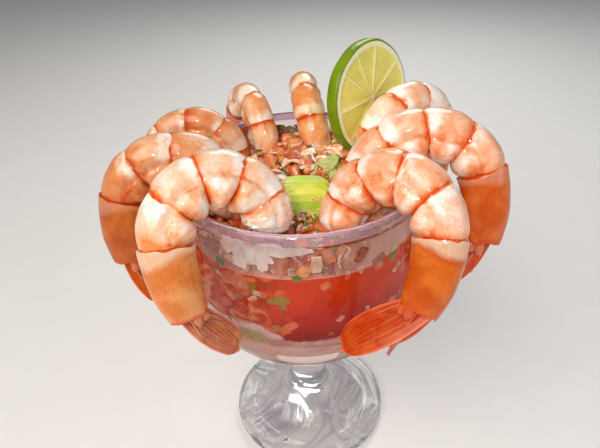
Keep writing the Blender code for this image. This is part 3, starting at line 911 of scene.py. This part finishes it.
def makeLime():
    sizes = limeSizes
    radius = sizes["radius"]
    half = sizes["thickness"] / 2
    corner = sizes["corner"]
    flesh = radius - sizes["rind"]
    pith = flesh - sizes["pith"]
    face = [(share * pith / radius, share * pith) for share in sizes["rings"]]
    face += [(0.90, flesh - 0.0010), (0.95, flesh)]
    stations = [(*ring, -half) for ring in face]
    for reach, height in arc(radius - corner, 0.0, corner, corner, -90, 90, 8):
        stations.append((1.0, reach, height + (math.copysign(half - corner, height) if height else 0.0)))
    stations += [(*ring, half) for ring in reversed(face)]

    def place(station, turn):
        _, reach, height = station
        sector = (turn * sizes["segments"] / (2 * math.pi) + 0.17 * math.sin(turn * 3)) % 1.0
        wall = 1.0 - ease(min(sector, 1.0 - sector) * (0.35 + reach / pith) * 7)
        drop = 0.0
        if reach <= pith:
            drop = 0.00045 * (1.0 - wall) * ease(reach / pith * 5) * ease((pith - reach) / 0.0012 + 0.05)
            drop += 0.00012 * lump(math.cos(turn) * reach * 900, math.sin(turn) * reach * 900, 1.0)
        size = reach * (1.0 + 0.006 * math.sin(turn * 5 + 1) + 0.004 * math.sin(turn * 11))
        return around(turn, size, height - drop * (1.0 if height > 0 else -1.0))

    shape = wrapped(bmesh.new(), stations, sizes["sides"], place)
    bmesh.ops.scale(shape, vec=(sizes["shrink"], sizes["shrink"], 1.0), verts=shape.verts)
    stand = (Matrix.Rotation(math.radians(sizes["turn"]), 4, "Z")
             @ Matrix.Rotation(math.radians(90 - sizes["tilt"]), 4, "X"))
    bmesh.ops.transform(shape, matrix=Matrix.Translation(sizes["centre"]) @ stand, verts=shape.verts)
    piece = addPiece("limeWheel", shape, [limePaint()], ["lime_slice"])
    cutSlot(piece)
    return piece


def cutSlot(piece):
    # the notch that sits the wheel on the rim of the glass
    gap = limeSizes["slotGap"]
    inner = glassSizes["wellRadius"] - 0.0006 - gap
    outer = glassSizes["bowlRadius"] + gap
    low = limeSizes["slotFloor"]
    top = glassSizes["height"] + gap
    shape = turned([(inner, low), (outer, low), (outer, top), (inner, top)], 96, ring=True)
    bmesh.ops.recalc_face_normals(shape, faces=shape.faces)
    cutter = linked("slot", meshOf("slot", shape))
    modifier = piece.modifiers.new("Slot", "BOOLEAN")
    modifier.object = cutter
    modifier.solver = "MANIFOLD"   # the exact solver loses the finely pitted wheel
    graph = bpy.context.evaluated_depsgraph_get()
    cut = bpy.data.meshes.new_from_object(piece.evaluated_get(graph))
    piece.modifiers.clear()
    piece.data = cut
    bpy.data.objects.remove(cutter, do_unlink=True)


def limePaint():
    colours = limeColours
    paint = Paint("lime", {
        "Roughness": 0.3, "Coat Roughness": 0.08, "Specular IOR Level": 0.2, "Subsurface Weight": 0.3,
        "Subsurface Scale": 0.003, "Subsurface Radius": (0.8, 1.0, 0.3)})
    reach, turn = paint.wrapAxes()
    spot = paint.place()
    blotch = paint.noise(spot, 130, 3.0, 0.5)
    wobble = paint.sum("SINE", turn * (6 * math.pi)) * 0.17
    sector = paint.sum("FRACT", turn * float(limeSizes["segments"]) + wobble + 10.0)
    near = paint.sum("MINIMUM", sector, 1.0 - sector)
    wall = (near * (0.35 + reach)).step(0.055, 0.015)
    sacs = paint.cells(paint.wrapPlace((16, 60, 1)), 5.0, "SMOOTH_F1")
    pores = paint.cells(spot, 620)
    deep = sacs.step(0.2, 0.75) * 0.6 + blotch.step(0.4, 0.7) * 0.3
    edge = 1.0 - (limeSizes["rind"] + limeSizes["pith"]) / limeSizes["radius"]
    dark = pores.step(0.35, 0.12) * 0.5 + blotch.step(0.45, 0.7) * 0.4
    rind = paint.mix(dark, colours["rind"], colours["rindDark"])
    skin = reach.step(0.935, 0.958)
    paint.set(colour=paint.layers(
        colours["pulp"], (deep, colours["pulpDeep"]), (wall * 0.9, colours["skin"]),
        (reach.step(0.10, 0.045), colours["skin"]), (reach.step(edge - 0.012, edge + 0.006), colours["pith"]),
        (skin, rind)))
    paint.set(coat=0.4 - skin * 0.25)
    paint.bump(sacs * 0.6 + pores * 0.35, 0.0005, 0.5)
    return paint


makeLime()
print("lime")


# ---- avocado fan

avocadoSizes = {
    "pitch": 0.0047, "front": (0.0008, -0.0250, 0.1497), "lean": 38, "widest": 2.2,
    "thickness": 0.0032, "length": 0.029, "height": 0.0115, "drop": 0.88,
}
avocadoColours = {
    "green": "#a8cf1c", "edge": "#7fa818", "yellow": "#f3e25a", "pale": "#cfe04a",
    "streak": "#f6f3a0", "juice": "#f09a34",
    "faces": ("#b0c81a", "#d4dc30", "#efe458", "#cbd838", "#c0d672"),   # one for each slice from the front to the back, the fruit's greens and yellows with painted light and shade that sets the slices apart
}


def makeAvocado(index):
    sizes = avocadoSizes
    shrink = 1.0 - 0.10 * abs(index - sizes["widest"]) / sizes["widest"]
    halfLength = sizes["length"] / 2 * shrink
    halfThick = sizes["thickness"] / 2

    def place(station, turn):
        # station runs through the thickness, turn goes round the crescent's outline
        share, scale = station
        x = math.cos(turn)
        y = math.sin(turn)
        across = math.copysign(abs(x) ** 0.62, x)
        depth = (share * 2 - 1) * halfThick * 0.88 - 0.0003
        if scale == 0.0:
            return Vector((0.0, depth, 0.45 * sizes["height"]))
        tall = sizes["height"] * math.sqrt(1.0 - sizes["drop"] * across ** 4) if y > 0 else 0.0
        tall *= min(abs(y) * 3.0, 1.0) ** 0.5
        long = halfLength * across * (1.0 if y > 0 else 1.0 + 0.22 * y)
        soft = 1.0 - 0.07 * abs(2 * share - 1) ** 4
        bow = 0.0006 * across * across + 0.0003 * math.sin(3 * across + index * 1.7)
        return Vector((long * soft, depth + bow, tall * soft))

    shape = wrapped(bmesh.new(), capped(10), 72, place)
    shift = Vector((0.0006 * math.sin(index * 2.1), sizes["pitch"] * index, 0.0004 * index))
    lean = Matrix.Rotation(math.radians(-sizes["lean"]), 4, "X")
    bmesh.ops.transform(shape, matrix=Matrix.Translation(Vector(sizes["front"]) + shift) @ lean,
                        verts=shape.verts)
    name = f"avocado{index + 1}Dressed"
    return addPiece(name, shape, [avocadoPaint(index)], [f"avocado_{index + 1}"])


def avocadoPaint(index):
    colours = avocadoColours
    paint = Paint(f"avocado{index + 1}", {
        "Roughness": 0.38, "Coat Weight": 0.2, "Coat Roughness": 0.2, "Subsurface Weight": 0.2,
        "Subsurface Scale": 0.002, "Subsurface Radius": (0.9, 1.0, 0.3)})
    through, turn = paint.wrapAxes()
    across = paint.axis(paint.place(), "X")
    blotch = paint.noise(paint.place(shift=(0.0, index * 0.07, 0.0)), 160, 3.0, 0.5)
    smear = paint.noise(paint.place((1, 3, 3)), 120, 3.0, 0.6)
    # pale streaks along the slices: fibres, with painted glints
    streak = paint.noise(paint.place((1, 6, 6), (index * 0.13, 0.0, 0.0)), 90, 3.0, 0.6)
    top = turn.step(0.0, 0.10) * turn.step(0.5, 0.40) * abs(through - 0.5).step(0.42, 0.30)
    juice = across.step(-0.006, -0.012) * streak.step(0.50, 0.40)
    # each slice starts from its own colour, which holds painted light and shade
    paint.set(colour=paint.layers(
        colours["faces"][index], (blotch.step(0.35, 0.65) * 0.5, colours["pale"]),
        (across.step(-0.004, -0.013) * 0.8, colours["yellow"]), (top * 0.5, colours["green"]),
        (smear.step(0.60, 0.72) * 0.35, colours["edge"]), (streak.step(0.54, 0.70) * 0.6, colours["streak"]),
        (juice * 0.6, colours["juice"])))
    paint.bump(smear + blotch * 0.5, 0.0004, 0.4)
    return paint


for index in range(len(avocadoColours["faces"])):
    makeAvocado(index)
print("avocado")


# ---- chopped things on and in the salsa: copies of a few small shapes, one piece for each kind

heapSizes = {"edge": 0.0515, "wallReach": 0.0004, "low": 0.112, "high": 0.146}
heapSauce = "#ee5a12"
# bits pressed against the glass in runs of one kind: bearing, height, size, turn, in millimetres
wallBits = (
    ("cilantro", ((-113, 140, 4.6, 20), (-109, 136.5, 3.4, 140), (-100, 133.5, 9, 80),
                  (-104, 134.2, 4.6, 200), (-93, 146.2, 4.2, 60), (-49, 145.2, 5.2, 30),
                  (-120, 133, 4, 250), (-128, 148, 5, 100), (-131, 142, 4.5, 10))),
    ("greenPieces", ((-118, 110.5, 15.5, 185), (-48, 149, 4.8, 20), (60, 120, 8, 75))),
    ("onion", ((-85, 152.8, 7.4, 88), (-72, 145.2, 4.2, 80), (-66, 146, 3.6, 110), (-113, 133.5, 4.6, 40),
               (-119, 142.5, 7, 75), (-46, 138.5, 5, 50))),
    ("redOnion", ((-66, 153.5, 7, 60), (-79, 150.5, 5.2, 90), (-57, 148, 6, 20))),
    ("shreds", ((-74, 153.5, 8.5, 78), (-73, 157.5, 7.5, 96), (-91, 159, 5, 100))),
    ("cilantro", ((101, 159, 7.5, 30), (96, 157.5, 7, 120), (105, 157.8, 7, 200), (91, 158.5, 5.5, 70))),
    ("tomato", ((99, 155.5, 6, 20), (-79, 154.5, 4, 20), (-90, 150, 6, 60), (-125, 140, 5.5, 10))),
)
# bits that have their own place on top, in runs of one kind: x, y, size, in millimetres
topBits = (
    ("tomato", ((8.5, -35, 7.5),)), ("cilantro", ((3, -34.5, 5),)), ("redOnion", ((-1.5, -36, 4.2),)),
    ("onion", ((4.5, -40.5, 5),)), ("cilantro", ((2.5, -40, 5.5),)), ("shreds", ((0, -39.5, 6),)),
    ("greenPieces", ((12, 8, 13), (15.5, 3.5, 10))),
    ("redOnion", ((-6, 19, 8), (-1, 16.5, 9), (3, 11.5, 8), (-12.5, 14, 7))),
    ("tomato", ((-6, 32, 7.6), (-2, 26.5, 7.8), (19, 20.5, 8.5), (22.5, 16.5, 7), (-11, 26, 6.8), (-2, 37, 6),
                (-10.5, -5, 7), (-17, 6, 7.5), (8, -17, 7))),
    ("cilantro", ((-6.5, 40, 8), (-9.5, 43, 7), (-4.5, 44.5, 6.5), (-8, 8, 6), (-12.5, 9, 5), (-9, 23.5, 6))),
    ("onion", ((-8, 1, 8.2), (23, 22, 6.5), (-14, 20.5, 6.5))),
    ("shreds", ((3, 18.5, 15), (7, 16, 16), (11, 17.5, 15), (9.5, 12, 14), (15, 16, 13), (6, 19.5, 14),
                (3, 8, 14), (-2, 7, 15))),
    ("onion", ((4, 19.5, 7.8), (8, 18, 8.5), (12.5, 18.5, 8), (5.5, 15, 7), (10.5, 14.5, 7.5), (16, 19, 7))),
)
# bits thrown over the top: kind, how many, smallest and largest size in millimetres, spacing, lift, tilt
scattered = (
    ("tomato", 70, 5, 7.8, 0.75, 0.15, 0.9), ("tomato", 190, 2.2, 4.6, 0.62, 0.25, 0.9),
    ("tomato", 40, 2.4, 4, 0.40, 0.8, 0.9), ("onion", 40, 5, 7.5, 0.9, 0.30, 0.6),
    ("onion", 110, 2.6, 5, 0.7, 0.30, 0.7), ("redOnion", 110, 2.6, 5.6, 0.7, 0.40, 0.8),
    ("greenPieces", 40, 2.4, 4.4, 1.2, 0.40, 0.8), ("cilantro", 170, 2.6, 5.6, 0.6, 0.45, 0.9),
    ("shreds", 80, 4.5, 11, 0.7, 0.30, 0.5), ("seeds", 420, 1, 1.8, 0.9, 1.2, 0.5),
)
# bits pressed all round the glass: kind, how many, smallest and largest size in millimetres
lined = (("tomato", 26, 3.5, 6), ("onion", 16, 2.5, 5), ("redOnion", 9, 3, 5), ("cilantro", 16, 2.2, 4.5))
milli = 0.001
random.seed(23)


def treeOf(item):
    shape = bmesh.new()
    shape.from_mesh(item.data)
    tree = BVHTree.FromBMesh(shape)
    shape.free()
    return tree


obstacles = [treeOf(item) for name, item in frame["nodes"].items() if name not in ("glass", "cocktail_mix")]


def diceShape(index):
    # a cut cube with softened edges, one unit across
    shape = bmesh.new()
    bmesh.ops.create_cube(shape, size=1.0)
    bmesh.ops.bevel(shape, geom=shape.edges, offset=0.20, affect="EDGES", segments=1, profile=0.5,
                    material=-1)
    for vert in shape.verts:
        vert.co += noise.noise_vector(vert.co * 1.3 + Vector((index * 5.0, 0, 0))) * 0.22
    bmesh.ops.scale(shape, vec=(1.0, 0.86, 0.66 + 0.1 * index), verts=shape.verts)
    return shape


def disc(segments):
    shape = bmesh.new()
    bmesh.ops.create_circle(shape, cap_ends=True, cap_tris=True, segments=segments, radius=0.5)
    return shape


def wedgeShape(index):
    # a slice of green flesh with its skin along the round side
    shape = disc(14)
    bmesh.ops.subdivide_edges(shape, edges=[edge for edge in shape.edges if not edge.is_boundary], cuts=1)
    for vert in shape.verts:
        vert.co.y *= 0.95 if vert.co.y > 0 else 0.25 + 0.1 * index
    bmesh.ops.solidify(shape, geom=shape.faces, thickness=0.26)
    middle = sum(vert.co.z for vert in shape.verts) / len(shape.verts)
    bmesh.ops.translate(shape, verts=shape.verts, vec=(0, 0, -middle))
    return shape


def chipShape(index):
    # a slice of an onion layer: bent, thin and cut short
    shape = bmesh.new()
    bmesh.ops.create_grid(shape, x_segments=6, y_segments=2, size=0.5)
    bmesh.ops.scale(shape, vec=(1.0, 0.52 + 0.12 * index, 1.0), verts=shape.verts)
    for vert in shape.verts:
        vert.co.y *= 1.0 - 0.5 * abs(vert.co.x)
        vert.co.z = 0.20 - 0.9 * vert.co.x ** 2 - 0.3 * vert.co.y ** 2
    bmesh.ops.solidify(shape, geom=shape.faces, thickness=0.16)
    return shape


def leafShape(index):
    # a small cilantro leaf with three cut lobes
    shape = disc(18)
    for vert in shape.verts:
        turn = math.atan2(vert.co.y, vert.co.x)
        reach = vert.co.length
        lobes = 0.62 + 0.26 * abs(math.cos(turn * 1.5)) + 0.14 * math.cos(turn * 9 + index)
        vert.co *= lobes * (1.15 if reach else 1.0)
        vert.co.z = 0.10 * math.sin(turn * 3 + index * 2) * reach * 2 + 0.12 * vert.co.x
    bmesh.ops.solidify(shape, geom=shape.faces, thickness=0.05)
    return shape


def shredShape(index):
    # a bent fibre with a ragged thickness
    def place(station, turn):
        share, scale = station
        ragged = 1.0 + 0.5 * math.sin(share * 11 + index * 2)
        thick = 0.075 * math.sin(math.pi * (0.06 + 0.88 * share)) * ragged * scale
        bend = 0.22 * math.sin(share * (3.0 + index) + index)
        return Vector((share - 0.5, bend + thick * math.cos(turn),
                       0.08 * math.sin(share * 5) + thick * math.sin(turn)))

    return wrapped(bmesh.new(), capped(7), 6, place)


def seedShape(index):
    shape = bmesh.new()
    bmesh.ops.create_icosphere(shape, subdivisions=1, radius=0.5)
    for vert in shape.verts:
        vert.co.y *= 0.62 - 0.3 * vert.co.x
    bmesh.ops.scale(shape, vec=(1.0, 1.0, 0.45 + 0.1 * index), verts=shape.verts)
    return shape


class Heap:
    # one kind of chopped thing, gathered into one mesh
    def __init__(self, makeShape, variants):
        self.shape = bmesh.new()
        self.layer = self.shape.loops.layers.uv.new("wrap")
        self.templates = []
        self.taken = []
        for index in range(variants):
            template = makeShape(index)
            for layer in list(template.loops.layers.uv):
                template.loops.layers.uv.remove(layer)
            bmesh.ops.recalc_face_normals(template, faces=template.faces)
            self.templates.append(meshOf("template", template))

    def copy(self, move):
        # adds one shape, moved by a function of its unit coordinates
        verts = len(self.shape.verts)
        faces = len(self.shape.faces)
        self.shape.from_mesh(random.choice(self.templates))
        self.shape.verts.ensure_lookup_table()
        self.shape.faces.ensure_lookup_table()
        shade = random.random()
        for face in self.shape.faces[faces:]:
            for loop in face.loops:
                loop[self.layer].uv = (shade, loop.vert.co.xy.length * 1.6)
        for vert in self.shape.verts[verts:]:
            vert.co = move(vert.co)

    def lay(self, x, y, size, lift, tilt):
        # on the salsa, partly sunk and held inside the wall
        spot = Vector((x, y, salsaHeight(x, y) + lift * size))
        leans = (random.uniform(-tilt, tilt), random.uniform(-tilt, tilt), random.uniform(0, 6.28))
        turn = Euler(leans).to_matrix()
        limit = glassSizes["wellRadius"] + heapSizes["wallReach"]
        self.taken.append((x, y))

        def move(point):
            moved = spot + turn @ (point * size)
            if moved.xy.length > limit:
                moved.xy *= limit / moved.xy.length
            return moved

        self.copy(move)

    def press(self, bearing, height, size, turn):
        # flat against the inside of the glass
        spin = Matrix.Rotation(math.radians(turn), 3, "Z")
        self.copy(lambda point: wallSpot(bearing, height, spin @ (point * size)))

    def scatter(self, count, low, high, spacing, lift, tilt):
        tries = 0
        placed = 0
        while placed < count and tries < count * 40:
            tries += 1
            size = random.uniform(low, high)
            reach = heapSizes["edge"] * math.sqrt(random.random())
            turn = random.uniform(0, 2 * math.pi)
            x = reach * math.cos(turn)
            y = reach * math.sin(turn)
            crowded = any(math.hypot(x - oldX, y - oldY) < size * spacing for oldX, oldY in self.taken)
            if crowded or not isClear(Vector((x, y, salsaHeight(x, y) + lift * size)), size * 0.42):
                continue
            self.lay(x, y, size, lift, tilt)
            placed += 1

    def line(self, count, low, high):
        # more of the same pressed all round the glass
        for step in range(count):
            bearing = 360 * (step + random.random()) / count
            height = random.uniform(heapSizes["low"], heapSizes["high"])
            self.press(bearing, height, random.uniform(low, high), random.uniform(0, 360))

    def finish(self, name, paint):
        addPiece(name, self.shape, [paint], sharp=40)
        for mesh in self.templates:
            bpy.data.meshes.remove(mesh)


def wallSpot(bearing, height, flat):
    # a flat point laid on the inner wall, with its outer side just in the glass
    high = height + flat.y
    depth = (glassSizes["wellWaist"] - high) / (glassSizes["wellWaist"] - glassSizes["wellBase"])
    radius = squarish(glassSizes["wellRadius"], min(max(depth, 0.0), 1.0), glassSizes["wellSquareness"])
    turn = math.radians(bearing) + flat.x / radius
    return around(turn, radius + heapSizes["wallReach"] + min(flat.z, 0.0) * 0.7, high)


def isClear(spot, radius):
    for tree in obstacles:
        near, normal, _, distance = tree.find_nearest(spot)
        if distance < radius or (spot - near).dot(normal) < 0:
            return False
    return True


def chopPaint(name, dark, light, rim, rimFrom, soft, sauced):
    paint = Paint(name, {"Roughness": 0.30, "Coat Weight": 0.5, "Coat Roughness": 0.08})
    if soft:
        paint.shader.inputs["Subsurface Weight"].default_value = soft
        paint.shader.inputs["Subsurface Scale"].default_value = 0.0012
    shade, edge = paint.wrapAxes()
    spot = paint.place()
    blotch = paint.noise(spot, 320, 3.0, 0.5, 0.5)
    fine = paint.noise(spot, 1100, 2.0, 0.6)
    tone = shade * 0.6 + (blotch - 0.5) * 1.3 + 0.2
    # sauce clings to it, most of all against the glass
    smear = paint.noise(spot, 170, 4.0, 0.6, 0.8)
    x, y, height = (paint.axis(spot, name) for name in "XYZ")
    reach = paint.sum("SQRT", x * x + y * y)
    atWall = reach.step(0.0520, 0.0532) * height.step(0.1475, 0.1450)
    atWall = atWall.max(height.step(0.1320, 0.1290))
    cover = (smear + atWall * 0.16).step(0.50, 0.72) * (atWall * 0.35 + 0.50) * sauced
    rimmed = (edge + (fine - 0.5) * 0.2).step(rimFrom, rimFrom + 0.25) * 0.75
    paint.set(colour=paint.layers(dark, (tone.clamp(), light), (rimmed, rim), (cover, heapSauce)))
    paint.set(roughness=0.24 + fine * 0.2)
    paint.bump(blotch + fine * 0.5, 0.0004, 0.5)
    return paint


# kind: piece, shape, how many shapes, then the finish: dark, light, rim, where the rim starts, how soft
# it is and how much sauce clings to it
heapKinds = {
    "tomato": ("tomatoDice", diceShape, 3, "#b83c0e", "#f8b46c", "#b83c0e", 0.75, 0.2, 1.0),
    "onion": ("onionChips", chipShape, 3, "#ecb27c", "#faeadc", "#faeadc", 0.60, 0.2, 1.0),
    "redOnion": ("redOnionChips", chipShape, 2, "#8a2418", "#dc987c", "#8a2418", 0.55, 0.2, 1.0),
    "cilantro": ("cilantroLeaves", leafShape, 4, "#33500e", "#7d9a1e", "#33500e", 0.80, 0.0, 0.5),
    "shreds": ("paleShreds", shredShape, 3, "#efc290", "#f7ead6", "#f7ead6", 0.50, 0.2, 1.0),
    "greenPieces": ("greenPieces", wedgeShape, 2, "#a6b254", "#dbe4a6", "#6c8418", 0.74, 0.2, 0.3),
    "seeds": ("seeds", seedShape, 2, "#c8661c", "#f2c24e", "#f2c24e", 0.60, 0.0, 1.0),
}


def makeHeap():
    heaps = {kind: Heap(*row[1:3]) for kind, row in heapKinds.items()}
    for kind, spots in topBits:
        for x, y, size in spots:
            heaps[kind].lay(x * milli, y * milli, size * milli, 0.22, 0.35)
    for kind, spots in wallBits:
        for bearing, height, size, turn in spots:
            heaps[kind].press(bearing, height * milli, size * milli, turn)
    for kind, count, low, high, *rest in scattered:
        heaps[kind].scatter(count, low * milli, high * milli, *rest)
    for kind, count, low, high in lined:
        heaps[kind].line(count, low * milli, high * milli)
    for kind, (piece, _, _, *finish) in heapKinds.items():
        heaps[kind].finish(piece, chopPaint(kind, *finish))


# ---- what the sauce left on the glass above it

filmSizes = {"top": 0.1606, "bottom": 0.1445, "inset": 0.00012, "reach": 0.00006, "sides": 128}
dropSizes = {"count": 90, "small": 0.00035, "large": 0.0009, "low": 0.1515, "high": 0.1600}


def makeFilm():
    outer = glassSizes["wellRadius"] + filmSizes["reach"]
    inner = glassSizes["wellRadius"] - filmSizes["inset"]
    top = filmSizes["top"]
    low = filmSizes["bottom"]
    profile = [(outer, low), (outer, top), (inner, top - 0.0004), (inner, low)]
    shape = turned(profile, filmSizes["sides"], ring=True)
    paint = Paint("wetFilm", {"Roughness": 0.2})
    spot = paint.place((1, 1, 0.55))
    edge = paint.axis(paint.place(), "Z").step(0.1618, 0.1590)
    cloud = paint.noise(spot, 70, 4.0, 0.6, 1.0)
    streak = paint.noise(paint.place((1, 1, 0.18)), 260, 3.0, 0.5, 0.4)
    thick = cloud.step(0.40, 0.70) * 0.22 + streak.step(0.50, 0.72) * 0.18 + 0.03
    # more opaque and even at the front right
    right = paint.axis(spot, "X").step(0.005, 0.035)
    paint.set(alpha=(thick * (1.0 - right) + right * (0.62 + cloud * 0.2)) * edge)
    paint.set(colour=paint.mix(cloud, "#f0b8a0", "#ffe6dc"))
    return addPiece("wetFilm", shape, [paint])


def makeDrops():
    shape = bmesh.new()
    for _ in range(dropSizes["count"]):
        turn = random.uniform(0, 2 * math.pi)
        high = random.uniform(dropSizes["low"], dropSizes["high"])
        size = dropSizes["small"] + (dropSizes["large"] - dropSizes["small"]) * random.random() ** 3
        out = around(turn)
        stand = Matrix((out, Vector((-out.y, out.x, 0.0)), Vector((0, 0, 1)))).transposed().to_4x4()
        squash = Matrix.Diagonal((0.55, 1.0, random.uniform(1.0, 1.5), 1.0))
        spot = Matrix.Translation(around(turn, glassSizes["wellRadius"], high))
        bmesh.ops.create_icosphere(shape, subdivisions=2, radius=size, matrix=spot @ stand @ squash)
    paint = Paint("drops", {"Roughness": 0.05, "IOR": 1.33, "Coat Weight": 0.8})
    paint.set(colour=paint.mix(paint.noise(paint.place(), 500, 2.0), "#ecc4c0", "#f8e6e2"))
    return addPiece("drops", shape, [paint])


# torn flesh of the front left prawn: bearing, height, half width, half height, how far it is torn
strandSpots = (
    (-112, 0.1572, 0.0085, 0.0050, 0.45), (-102, 0.1600, 0.0110, 0.0030, 0.30),
    (-117, 0.1535, 0.0034, 0.0050, 0.40), (-107, 0.1535, 0.0026, 0.0042, 0.40),
    (-94, 0.1602, 0.0070, 0.0022, 0.40), (-121, 0.1590, 0.0050, 0.0036, 0.45),
)
strandThickness = 0.0022


def makeTornFlesh():
    shape = bmesh.new()
    for bearing, high, wide, tall, tear in strandSpots:
        for vert in bmesh.ops.create_icosphere(shape, subdivisions=4, radius=1.0)["verts"]:
            x, y, z = vert.co
            rag = 1.0 + tear * lump(x * 2.6, y * 2.2, bearing * 0.7)
            rag += tear * 0.6 * lump(x * 6.5, y * 3.0, bearing * 1.3)
            flat = Vector((x * wide * rag, y * tall * rag, z * strandThickness * rag - 0.0002))
            vert.co = wallSpot(bearing, high, flat)
    paint = Paint("tornFlesh", {"Roughness": 0.4, "Coat Weight": 0.3, "Subsurface Weight": 0.2,
                                "Subsurface Scale": 0.0015})
    fibre = paint.noise(paint.place((1, 1, 0.4)), 260, 3.0, 0.6, 0.5)
    blotch = paint.noise(paint.place(), 110, 3.0, 0.5)
    paint.set(colour=paint.layers(
        "#f6e6d4", (fibre.step(0.35, 0.65), "#ffffff"), (blotch.step(0.58, 0.78) * 0.3, "#f4c096")))
    paint.bump(fibre + blotch, 0.0008, 0.6)
    return addPiece("tornFlesh", shape, [paint])


makeHeap()
makeFilm()
makeDrops()
makeTornFlesh()
print("chopped things, film, drops and torn flesh")


# ---- stage, lights and camera

stageLook = {"floor": "#e9e7e4", "floorShade": "#e4e2df", "world": "#f2f4f8", "worldStrength": 0.20}
# place, what it points at, size, power and colour
lamps = {
    "key": ((-0.42, -0.50, 0.85), (0, 0, 0.13), 0.85, 8.0, "#fff8ee"),
    "fill": ((0.75, -0.35, 0.45), (0, 0, 0.12), 0.6, 1.7, "#eef3ff"),
    "glint": ((-0.10, -0.62, 0.62), (0, 0, 0.14), 0.10, 1.6, "#ffffff"),
    "back": ((0.15, 0.7, 0.65), (0, 0, 0.14), 0.5, 3.0, "#ffffff"),
}
view = {"place": (0.0, -0.2178, 0.28696), "pitch": 35.08, "yaw": -0.297, "roll": -2.514, "lens": 33.0}


def makeFloor():
    shape = bmesh.new()
    bmesh.ops.create_grid(shape, x_segments=8, y_segments=8, size=4.0,
                          matrix=Matrix.Translation((0, 0, -0.0002)))
    mesh = meshOf("floor", shape)
    paint = Paint("floor", {"Roughness": 0.55})
    grain = paint.noise(paint.place(), 40, 3.0, 0.5)
    paint.set(colour=paint.mix(grain, stageLook["floor"], stageLook["floorShade"]))
    mesh.materials.append(paint.material)
    floor = linked("floor", mesh)


def makeLight(name, place, target, size, power, colour):
    lamp = bpy.data.lights.new(name, "AREA")
    lamp.shape = "DISK"
    lamp.size = size
    lamp.energy = power
    lamp.color = linear(colour)[:3]
    item = linked(name, lamp)
    item.location = place
    item.rotation_euler = (Vector(target) - Vector(place)).to_track_quat("-Z", "Y").to_euler()


def makeWorld():
    world = bpy.data.worlds.new("studio")
    world.use_nodes = True
    back = world.node_tree.nodes["Background"]
    back.inputs["Color"].default_value = linear(stageLook["world"])
    back.inputs["Strength"].default_value = stageLook["worldStrength"]
    bpy.context.scene.world = world
    # plain colours, so that the reds and oranges stay as bright as they are
    bpy.context.scene.view_settings.view_transform = "Standard"


def makeCamera():
    pitch, yaw, roll = (math.radians(view[name]) for name in ("pitch", "yaw", "roll"))
    forward = Vector((math.sin(yaw) * math.cos(pitch), math.cos(yaw) * math.cos(pitch), -math.sin(pitch)))
    right = Vector((math.cos(yaw), -math.sin(yaw), 0.0))
    up = right.cross(forward)
    data = bpy.data.cameras.new("camera")
    data.lens = view["lens"]
    data.sensor_width = 36.0
    data.clip_start = 0.01
    camera = linked("camera", data)
    turn = Matrix((right * math.cos(roll) + up * math.sin(roll), up * math.cos(roll) - right * math.sin(roll),
                   -forward)).transposed().to_4x4()
    camera.matrix_world = Matrix.Translation(view["place"]) @ turn
    bpy.context.scene.camera = camera


makeFloor()
makeWorld()
for name, values in lamps.items():
    makeLight(name, *values)
makeCamera()
